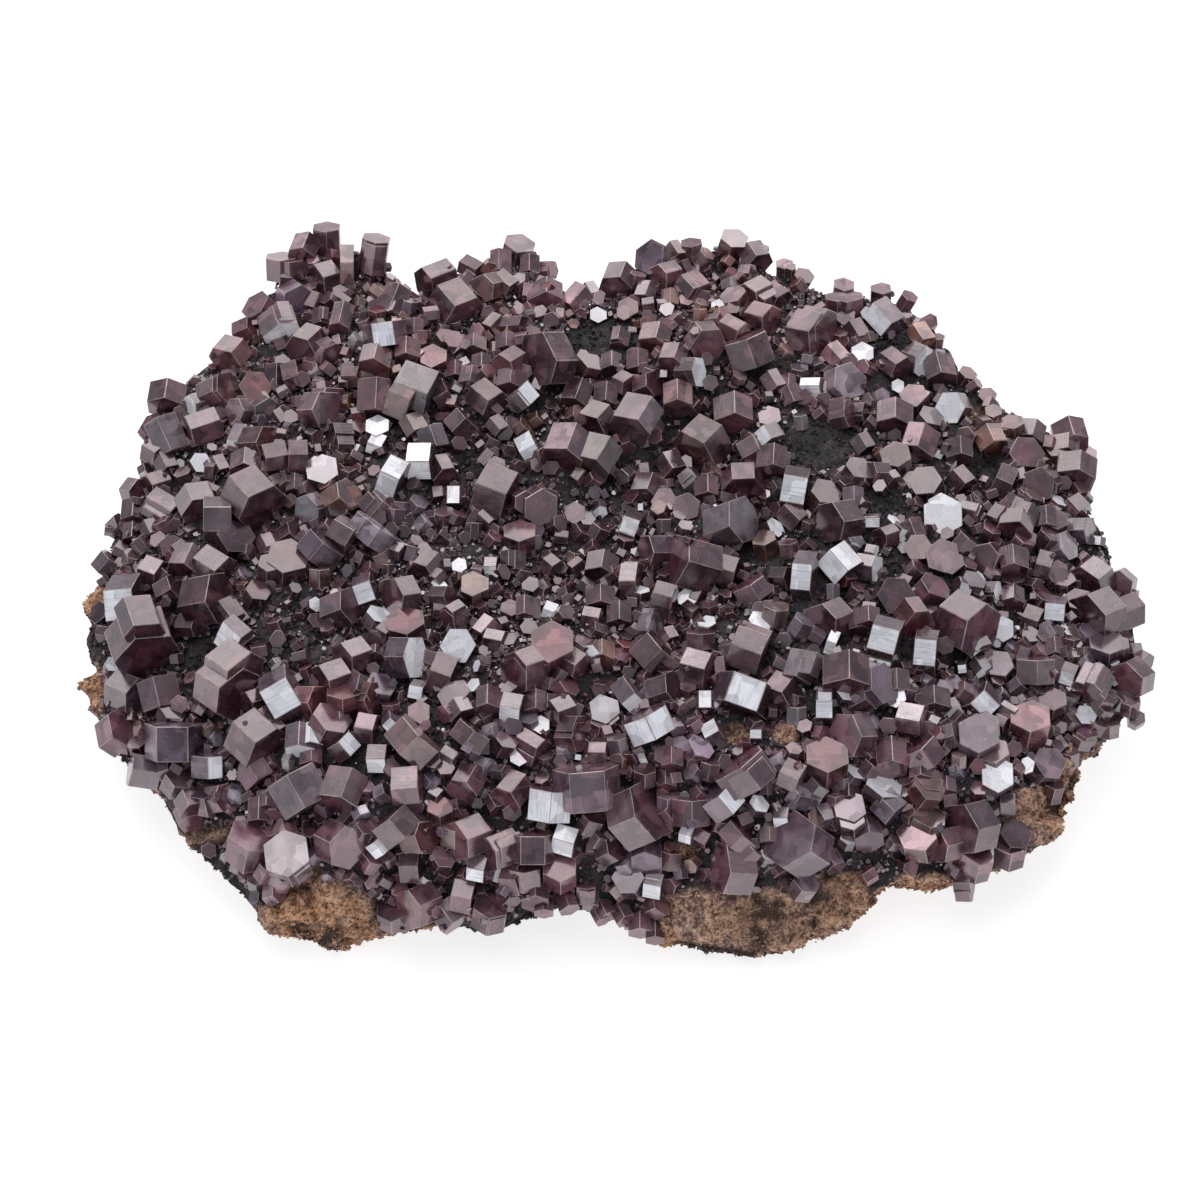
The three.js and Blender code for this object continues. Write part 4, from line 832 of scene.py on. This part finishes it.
def crystalFinish(name):
    # Dark red-brown prisms: caps are zoned, redder toward the axis, sides carry fine lines along it
    # and bands across it; rims are paler, edges are pale from wear and a painted highlight, upward
    # faces carry a thin dusty coat with a painted top sheen, and marked faces a painted mirror highlight
    finish = Finish(name)
    place = finish.place()
    own = finish.attribute("prism", "Vector")
    tint = finish.attribute("tint", "Color")
    edge = finish.attribute("edge")
    paintedHighlight = finish.attribute("paintedHighlight")
    cap = finish.attribute("cap")
    clear = finish.attribute("clear")
    shape = finish.attribute("shape", "Vector")
    x, y, z = (finish.node("ShaderNodeSeparateXYZ", None, {"Vector": shape}, axis) for axis in "XYZ")
    zone = x.size().most((x * 0.5 + y * 0.866).size()).most((x * 0.5 - y * 0.866).size())
    lines = finish.noise(finish.stretch(own, (4.0, 4.0, 0.2)), 0.6, 2, 0.6)
    bands = finish.noise(finish.stretch(own, (0.15, 0.15, 3.0)), 0.8, 1, 0.6)
    clouds = finish.noise(place, 0.0022, 1, 0.5)
    fine = finish.noise(place, 0.0003, 1, 0.6)
    # Angular patches stand for the planes that show inside clear crystals
    planes = finish.node("ShaderNodeTexVoronoi", {"distance": "CHEBYCHEV"},
                         {"Vector": own, "Scale": skin["planes"]}, "Color")
    plane = finish.node("ShaderNodeSeparateColor", None, {"Color": planes}, "Red")
    patch = plane * 0.65 + clouds.between(0.3, 0.7) * 0.35
    colour = finish.blend(patch, (0.34, 0.27, 0.30, 1), (1.68, 1.62, 1.66, 1))
    colour = finish.blend(1.0, tint, colour, "MULTIPLY")
    pale = finish.node("ShaderNodeSeparateColor", None, {"Color": tint}, "Green")
    heart = cap * (1 - zone.between(0.35, 0.85)) * (0.35 + bands * 0.9) * (1 - pale.between(0.05, 0.09))
    redder = finish.blend(1.0, tint, (1.6, 0.85, 0.92, 1), "MULTIPLY")
    # Deep is red-black glass under the faces, where the body is clear
    deep = (1 - plane) * (1 - clouds) * (0.4 + zone * 0.6) * skin["depth"]
    rim = cap * zone.between(0.9, 1.0) + (1 - cap) * z.size().between(0.84, 1.0) * 0.7
    up = finish.node("ShaderNodeSeparateXYZ", None,
                     {"Vector": finish.node("ShaderNodeNewGeometry", output="Normal")}, "Z")
    # Dusty coat and painted top sheen: upward faces are made paler, the more so the more they face up
    dustAndSheen = up.between(0.25, 1.0) * skin["filmAndSheen"] * (0.4 + clouds * 1.2)
    # Pale edges: partly wear, partly a painted highlight on the bevels
    wornAndHighlit = edge * (0.3 + clouds.between(0.35, 0.65) * fine.between(0.25, 0.55) * 0.7) * skin["edgeWearAndHighlight"]
    # Painted highlight: the chosen face of a marked crystal is painted pale, crossed by fine lines, and
    # made to glow
    paintedShine = paintedHighlight * (1 - lines.between(0.5, 0.72) * 0.45) * (0.6 + plane * 0.4)
    colour = finish.layers(colour, [
        (heart * 0.45, redder),
        (deep, (0.038, 0.019, 0.029, 1)),
        ((1 - cap) * bands.between(0.5, 0.7) * 0.35, (0.034, 0.018, 0.025, 1)),
        (lines.between(0.52, 0.75) * (1 - cap) * 0.15, (0.28, 0.21, 0.22, 1)),
        (fine.between(0.62, 0.72) * plane * 0.35, (0.42, 0.33, 0.34, 1)),
        (rim * clouds.between(0.35, 0.6) * 0.25, (0.36, 0.25, 0.22, 1)),
        (dustAndSheen, (0.42, 0.33, 0.34, 1)),
        (wornAndHighlit, (0.62, 0.47, 0.39, 1)),
        (paintedShine, (0.70, 0.70, 0.76, 1)),
    ])
    # Faces that one sees into send less light back, and that tinted by the body
    dim = clear.between(0.25, 0.9) * (1 - paintedHighlight) * (0.8 - plane * 0.3)
    dimmed = finish.blend(1.0, colour, (0.68, 0.74, 0.80, 1), "MULTIPLY")
    colour = finish.blend(dim, colour, dimmed)
    roughness = 0.09 + clouds * 0.10 + edge * 0.2 + fine * 0.04
    bumped = finish.bump(lines * (1 - cap) + clouds * 0.3, 0.00004, 0.35)
    return finish.close(finish.shader(
        Base_Color=colour, Roughness=roughness, Metallic=paintedShine * 0.1 + dim * 0.65, IOR=2.3,
        Specular_Tint=(1.0, 0.93, 0.94, 1), Normal=bumped, Emission_Strength=skin["paintedGlow"],
        Emission_Color=finish.blend(paintedShine, (0, 0, 0, 1), (0.93, 0.95, 1.0, 1))))


def prismAxes(toward, lean):
    # Own axes of each prism: along leans from the viewer's direction toward the clock angle,
    # sideways lies across it in the picture, and facing is square to both
    toward, lean = np.radians(toward), np.radians(lean)
    along = (np.sin(lean) * np.cos(toward))[:, None] * toRight
    along = along + (np.sin(lean) * np.sin(toward))[:, None] * toTop + np.cos(lean)[:, None] * toViewer
    sideways = -np.sin(toward)[:, None] * toRight + np.cos(toward)[:, None] * toTop
    return np.stack([sideways, np.cross(along, sideways), along], axis=1)


def outline(apothems, spin):
    # Corners of a six-sided outline from the distances of its sides: where neighbouring
    # side lines, sixty degrees apart, cross
    here = spin[:, None] + np.arange(6) * math.pi / 3
    following = np.roll(apothems, -1, axis=1)
    ahead = here + math.pi / 3
    root = math.sin(math.pi / 3)
    x = (apothems * np.sin(ahead) - following * np.sin(here)) / root
    y = (following * np.cos(here) - apothems * np.cos(ahead)) / root
    return np.stack([x, y], axis=-1), here


def prismMesh(crystals):
    # Six-sided prisms with their rims and edges bevelled: 36 points and 38 faces each.
    # Ring 0 is a cap's corners, rings 1 and 2 the two ends of each side at a bevel's depth
    count = len(crystals["across"])
    apothem = crystals["across"][:, None] / 2 * math.cos(math.pi / 6) * crystals["uneven"]
    bevel = crystals["bevel"][:, None]
    edgeWidth = crystals["edgeWidth"][:, None, None]
    half = crystals["tall"][:, None] / 2
    capCorners, here = outline(apothem - bevel, crystals["spin"])
    corners, here = outline(apothem, crystals["spin"])
    run = np.stack([-np.sin(here), np.cos(here)], axis=-1)
    starts = np.roll(corners, 1, axis=1) + run * edgeWidth
    ends = corners - run * edgeWidth
    rings = []
    for side in (1, -1):
        for flat, height in ((capCorners, half), (starts, half - bevel), (ends, half - bevel)):
            tall = np.broadcast_to(side * height, (count, 6))[..., None]
            rings.append(np.concatenate([flat, tall], axis=-1))
    own = np.concatenate(rings, axis=1)
    # The same places turned square to the sides and scaled to 1 at sides and caps
    turn = crystals["spin"][:, None]
    reach = crystals["across"][:, None] / 2 * math.cos(math.pi / 6)
    shape = np.stack([(own[..., 0] * np.cos(turn) + own[..., 1] * np.sin(turn)) / reach,
                      (own[..., 1] * np.cos(turn) - own[..., 0] * np.sin(turn)) / reach,
                      own[..., 2] / half], axis=-1)
    points = crystals["centre"][:, None, :] + np.einsum("nij,njk->nik", own, crystals["axes"])
    k = np.arange(6)
    after, before = (k + 1) % 6, (k + 5) % 6
    cap, start, end = k, k + 6, k + 12
    capLow, startLow, endLow = k + 18, k + 24, k + 30
    caps = np.stack([cap, capLow[::-1]])
    sides = np.stack([startLow, endLow, end, start], axis=-1)
    rims = np.stack([start, end, cap, cap[before]], axis=-1)
    rimsLow = np.stack([capLow[before], capLow, endLow, startLow], axis=-1)
    uprights = np.stack([endLow, startLow[after], start[after], end], axis=-1)
    tips = np.stack([end, start[after], cap], axis=-1)
    tipsLow = np.stack([capLow, startLow[after], endLow], axis=-1)
    first = np.arange(count) * 36
    faces, edge, paintedHighlight, cap, clear = [], [], [], [], []
    bevels = [(group, 1) for group in (rims, rimsLow, uprights, tips, tipsLow)]
    for group, isEdge in [(caps, 0), (sides, 0)] + bevels:
        faces.append((first[:, None, None] + group[None]).reshape(-1, group.shape[1]))
        edge.append(np.full(count * len(group), float(isEdge)))
        cap.append(np.full(count * len(group), float(group is caps)))
        paintedHighlight.append(np.zeros((count, len(group))))
        spread = chance.normal(0, 0.25, (count, len(group)))
        clear.append(np.clip(crystals["depth"][:, None] + spread, 0, 1) * (1 - isEdge))
    # On a crystal marked b, the flat that shows most to the viewer carries the painted mirror highlight
    axes, across = crystals["axes"], crystals["across"][:, None]
    normals = np.concatenate([axes[:, 2:3], -axes[:, 2:3]], axis=1)
    sideNormals = np.cos(here)[..., None] * axes[:, 0:1] + np.sin(here)[..., None] * axes[:, 1:2]
    capArea = 0.65 * across ** 2 * np.clip(normals @ toViewer, 0, 1)
    sideArea = 0.5 * across * crystals["tall"][:, None] * np.clip(sideNormals @ toViewer, 0, 1)
    areas = np.concatenate([capArea, sideArea], axis=1)
    chosen = (areas == areas.max(axis=1, keepdims=True)) * crystals["hasPaintedHighlight"][:, None]
    paintedHighlight[0], paintedHighlight[1] = chosen[:, :2], chosen[:, 2:]
    shifted = own.reshape(-1, 3) + np.repeat(crystals["offset"], 36, axis=0)
    attributes = {
        "prism": ("POINT", "FLOAT_VECTOR", shifted),
        "shape": ("POINT", "FLOAT_VECTOR", shape.reshape(-1, 3)),
        "tint": ("POINT", "FLOAT_COLOR", np.repeat(crystals["tint"], 36, axis=0)),
        "cap": ("FACE", "FLOAT", np.concatenate(cap)),
        "edge": ("FACE", "FLOAT", np.concatenate(edge)),
        "clear": ("FACE", "FLOAT", np.concatenate([part.ravel() for part in clear])),
        "paintedHighlight": ("FACE", "FLOAT", np.concatenate([part.ravel() for part in paintedHighlight])),
    }
    return points.reshape(-1, 3), faces, attributes


def pick(crystals, chosen):
    return {label: values[chosen] for label, values in crystals.items()}


def joined(parts):
    return {label: np.concatenate([part[label] for part in parts]) for label in parts[0]}


def makeCrystals(name, crystals, material):
    points, faces, attributes = prismMesh(crystals)
    return putPiece(name, points, faces, material, attributes)


# Painted light by place: share of a tone's brightness in the middle, and what the back and the front rims
# add to it
paintedRimLight = {"middle": 0.78, "back": 0.62, "front": 0.46}


def dressed(centre, axes, across, tall, spin, letters, unevenness, bevelShare):
    # Everything that a prism needs: its form, its bevels, its tint and the start of its lines
    count = len(across)
    base = np.array([tones[letter] for letter in letters])
    shade = np.exp(chance.normal(0, 0.2, (count, 1)))
    # Painted light: paler toward the back and front rims, where the crystals catch more light; greyer at
    # the back and a little bluer in front
    y = centre[:, 1]
    back = np.clip((y - 10) / 30, 0, 1)
    front = np.clip((-y - 16) / 15, 0, 1)
    shade = shade * (paintedRimLight["middle"] + paintedRimLight["back"] * back + paintedRimLight["front"] * front)[:, None]
    hue = 1 + chance.normal(0, 0.045, (count, 3))
    hue[:, 1] += 0.03 * back
    hue[:, 2] += 0.07 * np.clip((20 - y) / 15, 0, 1)
    tint = np.concatenate([np.clip(base * shade * hue, 0.01, 0.8), np.ones((count, 1))], axis=1)
    return {
        "centre": centre, "axes": axes, "across": across, "tall": tall, "spin": spin,
        "uneven": 1 + chance.uniform(-unevenness, unevenness, (count, 6)),
        "bevel": np.minimum(across, tall) ** 0.7 * bevelShare * chance.uniform(0.6, 1.5, count),
        "edgeWidth": across ** 0.7 * bevelShare * chance.uniform(0.5, 1.1, count),
        "tint": tint, "offset": chance.uniform(0, 50, (count, 3)),
        "hasPaintedHighlight": np.array([letter == "b" for letter in letters], float),
        "depth": np.array([clearness[letter] for letter in letters]) + chance.normal(0, 0.15, count),
    }


heroForm = {"uneven": 0.08, "bevel": 0.027, "standOut": 0.55, "sideReach": 0.47, "largeAcross": 6.75}


def readHeroes():
    # Crystals read one by one: their middle is on the line of sight, pushed out of the rock
    # by a share of their reach toward the viewer
    numbers = np.array([row[:6] for row in seenCrystals], float)
    column, row, across, tall, toward, lean = numbers.T
    spin = np.radians([row[6] if len(row) > 6 else 0 for row in seenCrystals])
    letters = [row[7] if len(row) > 7 else "n" for row in seenCrystals]
    leaning = np.radians(lean)
    reach = np.abs(np.cos(leaning)) * tall / 2 + np.sin(leaning) * across * heroForm["sideReach"]
    centre = meetsRock(column, row)[0] + toViewer * (reach * heroForm["standOut"])[:, None]
    return dressed(centre, prismAxes(toward, lean), across, tall, spin, letters,
                   heroForm["uneven"], heroForm["bevel"])


def parallelGrowths(crystals, share):
    # Some crystals are stepped: a second, smaller prism with the same axes, shifted along
    # and aside by a part of the first one's size
    chosen = (chance.uniform(0, 1, len(crystals["across"])) < share) & (crystals["across"] > 2.4)
    twin = pick(crystals, chosen)
    count = len(twin["across"])
    turn = chance.uniform(0, 2 * math.pi, count)
    aside = chance.uniform(0.16, 0.38, count) * twin["across"]
    along = chance.uniform(-0.12, 0.08, count) * twin["tall"]
    shift = np.stack([np.cos(turn) * aside, np.sin(turn) * aside, along], axis=-1)
    twin["centre"] = twin["centre"] + np.einsum("nj,njk->nk", shift, twin["axes"])
    twin["across"] = twin["across"] * chance.uniform(0.55, 0.86, count)
    twin["tall"] = twin["tall"] * chance.uniform(0.8, 0.98, count)
    twin["uneven"] = 1 + chance.uniform(-0.14, 0.14, (count, 6))
    return twin


def riders(crystals, share):
    # Small crystals grown onto the sides and caps of larger ones, most of them low down
    chosen = np.repeat(np.flatnonzero((crystals["across"] > 3.0) & (crystals["hasPaintedHighlight"] == 0)), 3)
    chosen = chosen[chance.uniform(0, 1, len(chosen)) < share]
    host = pick(crystals, chosen)
    count = len(chosen)
    turn = host["spin"] + chance.integers(0, 6, count) * math.pi / 3
    out = 0.43 * host["across"]
    along = chance.uniform(-0.5, 0.5, count) * host["tall"]
    slide = chance.uniform(-0.2, 0.2, count) * host["across"]
    spot = np.stack([np.cos(turn) * out - np.sin(turn) * slide,
                     np.sin(turn) * out + np.cos(turn) * slide, along], axis=-1)
    centre = host["centre"] + np.einsum("nj,njk->nk", spot, host["axes"])
    normal = (centre - host["centre"]) / np.linalg.norm(centre - host["centre"], axis=1, keepdims=True)
    across = chance.uniform(0.6, 1.9, count)
    axes = tiltedAxes(normal, 10, 85)
    letters = chance.choice(list("nntgru"), count)
    return dressed(centre, axes, across, across * chance.uniform(0.45, 0.9, count),
                   chance.uniform(0, 1, count), letters, 0.12, heroForm["bevel"])


crystalSkin = crystalFinish("vanadinite")
# The painted glow of the highlighted faces is not sampled as a lamp
crystalSkin.cycles.emission_sampling = "NONE"  # the glint is no lamp
heroes = readHeroes()
isLarge = heroes["across"] >= heroForm["largeAcross"]
large = pick(heroes, isLarge)
nodeNames = sorted(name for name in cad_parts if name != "matrix")
nodeMiddles = np.array([sum(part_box(name), Vector()) / 2 for name in nodeNames]) / mm
nearestNode = np.linalg.norm(large["centre"][:, None] - nodeMiddles[None], axis=2).argmin(axis=1)
for number, name in enumerate(nodeNames):
    members = nearestNode == number
    if members.any():
        own = pick(large, members)
        own = joined([own, parallelGrowths(own, 0.2)])
        piece = makeCrystals(name.replace("crystal", "prism"), own, crystalSkin)
        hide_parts(name)
    else:
        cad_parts[name].data.materials.clear()
        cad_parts[name].data.materials.append(crystalSkin)
        print("no reading for", name)
smaller = pick(heroes, ~isLarge)
makeCrystals("readPrisms", joined([smaller, parallelGrowths(smaller, 0.25)]), crystalSkin)
makeCrystals("ridingPrisms", riders(heroes, 0.14), crystalSkin)
print("read crystals made", len(heroes["across"]))


def farFromHeroes(places, share):
    # True where a place is further from every read crystal than a share of its width: the
    # squared distance is the two squared lengths less twice the dot product
    squared = ((places ** 2).sum(axis=1)[:, None] + (heroes["centre"] ** 2).sum(axis=1)[None]
               - 2 * places @ heroes["centre"].T)
    return (squared > (share * heroes["across"]) ** 2).all(axis=1)


def thinned(places, sizes, share):
    # Keeps the larger crystals first and drops those whose middle is too near a kept one
    tree = KDTree(len(places))
    for number, place in enumerate(places):
        tree.insert(place, number)
    tree.balance()
    kept = np.zeros(len(places), bool)
    for number in np.argsort(-sizes):
        near = tree.find_range(places[number], share * 2 * sizes[number])
        kept[number] = all(distance > share * (sizes[number] + sizes[other])
                           for _, other, distance in near if kept[other])
    return kept


fillForm = {"tries": 16000, "least": 0.7, "most": 2.7, "uneven": 0.14, "bevel": 0.03,
            "reach": 0.985, "fewLarge": 2.2, "apart": 0.40, "spacing": 0.36}


def fillCrystals():
    # Small crystals strewn over the top by area, where the rock isn't bare and no read
    # crystal stands, their axes tilted from the rock's own normal
    place = strewn(fillForm["tries"], fillForm["reach"])
    count = len(place)
    size = sizesOf(fillForm, count)
    kept = farFromHeroes(place, fillForm["apart"]) & (bareness(place)[0] < 0.45)
    kept = kept & (chance.uniform(0, 1, count) > sparseness(place))
    place, size = place[kept], size[kept]
    kept = thinned(place, size, fillForm["spacing"])
    place, size = place[kept], size[kept]
    normal = slopeNormal(place[:, 0], place[:, 1])
    count = len(size)
    axes = tiltedAxes(normal, 15, 88)
    tall = size * chance.uniform(0.45, 0.95, count)
    centre = place + normal * (size * chance.uniform(0.12, 0.42, count))[:, None]
    letters = chance.choice(list("ntgruob"), count, p=[0.64, 0.09, 0.10, 0.07, 0.05, 0.03, 0.02])
    made = dressed(centre, axes, size, tall, chance.uniform(0, 1, count), letters,
                   fillForm["uneven"], fillForm["bevel"])
    # The smallest stand low between the others; their tint is darkened as painted shade
    made["tint"][:, :3] *= np.clip(0.45 + 0.3 * (size - 0.7), 0.45, 1)[:, None]
    return made


fill = fillCrystals()
print("small crystals", len(fill["across"]))
halves = np.arange(len(fill["across"])) % 2
makeCrystals("smallPrismsA", pick(fill, halves == 0), crystalSkin)
makeCrystals("smallPrismsB", pick(fill, halves == 1), crystalSkin)


druseForm = {"tries": 26000, "least": 0.2, "most": 0.6, "apart": 0.38}


def makeDruse():
    # A fine crust of tiny plain prisms wherever the rock isn't ochre: 12 points each
    place = strewn(druseForm["tries"], 1.0)
    bare, ochre = bareness(place)
    kept = farFromHeroes(place, druseForm["apart"]) & (ochre < 0.4)
    place = place[kept]
    isBlack = (bare[kept] > 0.3) | (chance.uniform(0, 1, len(place)) < 1.5 * sparseness(place))
    normal = slopeNormal(place[:, 0], place[:, 1])
    count = len(place)
    across = chance.uniform(druseForm["least"], druseForm["most"], count)
    axes = tiltedAxes(normal, 0, 88)
    crystals = dressed(place + normal * (chance.uniform(0.0, 0.5, count))[:, None], axes, across,
                       across * chance.uniform(0.5, 1.1, count), chance.uniform(0, 1, count),
                       chance.choice(list("nngru"), count), 0.15, 0.05)
    corners, here = outline(across[:, None] / 2 * crystals["uneven"], crystals["spin"])
    half = np.broadcast_to(crystals["tall"][:, None, None] / 2, (count, 6, 1))
    own = np.concatenate([np.concatenate([corners, end], axis=-1) for end in (half, -half)], axis=1)
    points = crystals["centre"][:, None, :] + np.einsum("nij,njk->nik", own, crystals["axes"])
    k = np.arange(6)
    caps = np.stack([k, k[::-1] + 6])
    sides = np.stack([k + 6, (k + 1) % 6 + 6, (k + 1) % 6, k], axis=-1)
    # On the bare crust they are dull and black, like the rock; elsewhere dark red
    for name, members in (("crustBeads", isBlack), ("druse", ~isBlack)):
        first = (np.arange(members.sum()) * 12)[:, None, None]
        faces = [(first + group[None]).reshape(-1, group.shape[1]) for group in (caps, sides)]
        places = points[members].reshape(-1, 3)
        if name == "druse":
            values = own[members].reshape(-1, 3)
            tint = np.repeat(crystals["tint"][members] * [0.5, 0.62, 0.7, 1], 12, axis=0)
            attributes = {label: ("POINT", "FLOAT_VECTOR", values) for label in ("prism", "shape")}
            attributes["tint"] = ("POINT", "FLOAT_COLOR", tint)
            putPiece(name, places, faces, crystalSkin, attributes)
        else:
            attributes = {"ochre": ("POINT", "FLOAT", np.zeros(len(places)))}
            putPiece(name, places, faces, rockSkin, attributes)
        print(name, members.sum())


makeDruse()


# Camera, floor and lights

camera = bpy.data.objects.new("camera", bpy.data.cameras.new("camera"))
bpy.context.scene.collection.objects.link(camera)
camera.location = Vector(eye * mm)
camera.rotation_euler = Vector(toViewer).to_track_quat("Z", "Y").to_euler()
camera.data.sensor_width = 36
camera.data.lens = 36 * sight["distance"] / (sight["mmPerStep"] * 1200)
camera.data.clip_start = 0.01
camera.data.clip_end = 30
bpy.context.scene.camera = camera

studio = {
    "upLevel": 0.4, "horizonLevel": 0.7, "floorColour": (0.36, 0.36, 0.36, 1), "floorGlow": 0.80,
    "floorHalf": 30.0,
    "lights": [
        # name, place, width, depth, radiance, colour
        ("backPanel", (0.0, 2.4, 2.0), 4.5, 3.0, 1.5, (1.0, 0.98, 0.955)),
        ("topPanel", (-0.6, 0.2, 2.6), 2.2, 2.2, 1.6, (1.0, 0.98, 0.955)),
        ("tubeLeft", (-1.0, 1.5, 1.9), 0.25, 1.5, 2.0, (0.95, 0.97, 1.0)),
        ("tubeRight", (0.8, 1.9, 1.6), 0.25, 1.5, 2.0, (0.97, 0.98, 1.0)),
        ("window", (-0.4, 0.9, 2.0), 0.5, 0.35, 2.2, (0.90, 0.94, 1.0)),
    ],
}


def makeStudio():
    scene = bpy.context.scene
    scene.view_settings.view_transform = "Standard"
    world = bpy.data.worlds.new("surroundings")
    world.use_nodes = True
    # Pale near the horizon, like a light room, and dim overhead outside the lamps
    nodes, links = world.node_tree.nodes, world.node_tree.links
    direction = nodes.new("ShaderNodeTexCoord")
    split = nodes.new("ShaderNodeSeparateXYZ")
    level = nodes.new("ShaderNodeMapRange")
    level.inputs["From Max"].default_value = 0.3
    level.inputs["To Min"].default_value = studio["horizonLevel"]
    level.inputs["To Max"].default_value = studio["upLevel"]
    links.new(direction.outputs["Generated"], split.inputs[0])
    links.new(split.outputs["Z"], level.inputs["Value"])
    links.new(level.outputs["Result"], nodes["Background"].inputs["Strength"])
    nodes["Background"].inputs["Color"].default_value = (0.86, 0.92, 1.0, 1)
    scene.world = world
    half = studio["floorHalf"]
    mesh = bpy.data.meshes.new("floor")
    corners = [(-half, -half, 0), (half, -half, 0), (half, half, 0), (-half, half, 0)]
    mesh.from_pydata(corners, [], [(0, 1, 2, 3)])
    floor = bpy.data.objects.new("floor", mesh)
    scene.collection.objects.link(floor)
    finish = Finish("paleFloor")
    mesh.materials.append(finish.close(finish.shader(
        Base_Color=studio["floorColour"], Roughness=0.6,
        Emission_Color=(1, 1, 1, 1), Emission_Strength=studio["floorGlow"])))
    for name, place, wide, deep, radiance, colour in studio["lights"]:
        lamp = bpy.data.lights.new(name, "AREA")
        lamp.shape = "RECTANGLE"
        lamp.size, lamp.size_y = wide, deep
        lamp.energy = radiance * math.pi * wide * deep
        lamp.color = colour
        holder = bpy.data.objects.new(name, lamp)
        holder.location = place
        holder.rotation_euler = Vector(place).to_track_quat("Z", "Y").to_euler()
        scene.collection.objects.link(holder)


makeStudio()
print("studio made")
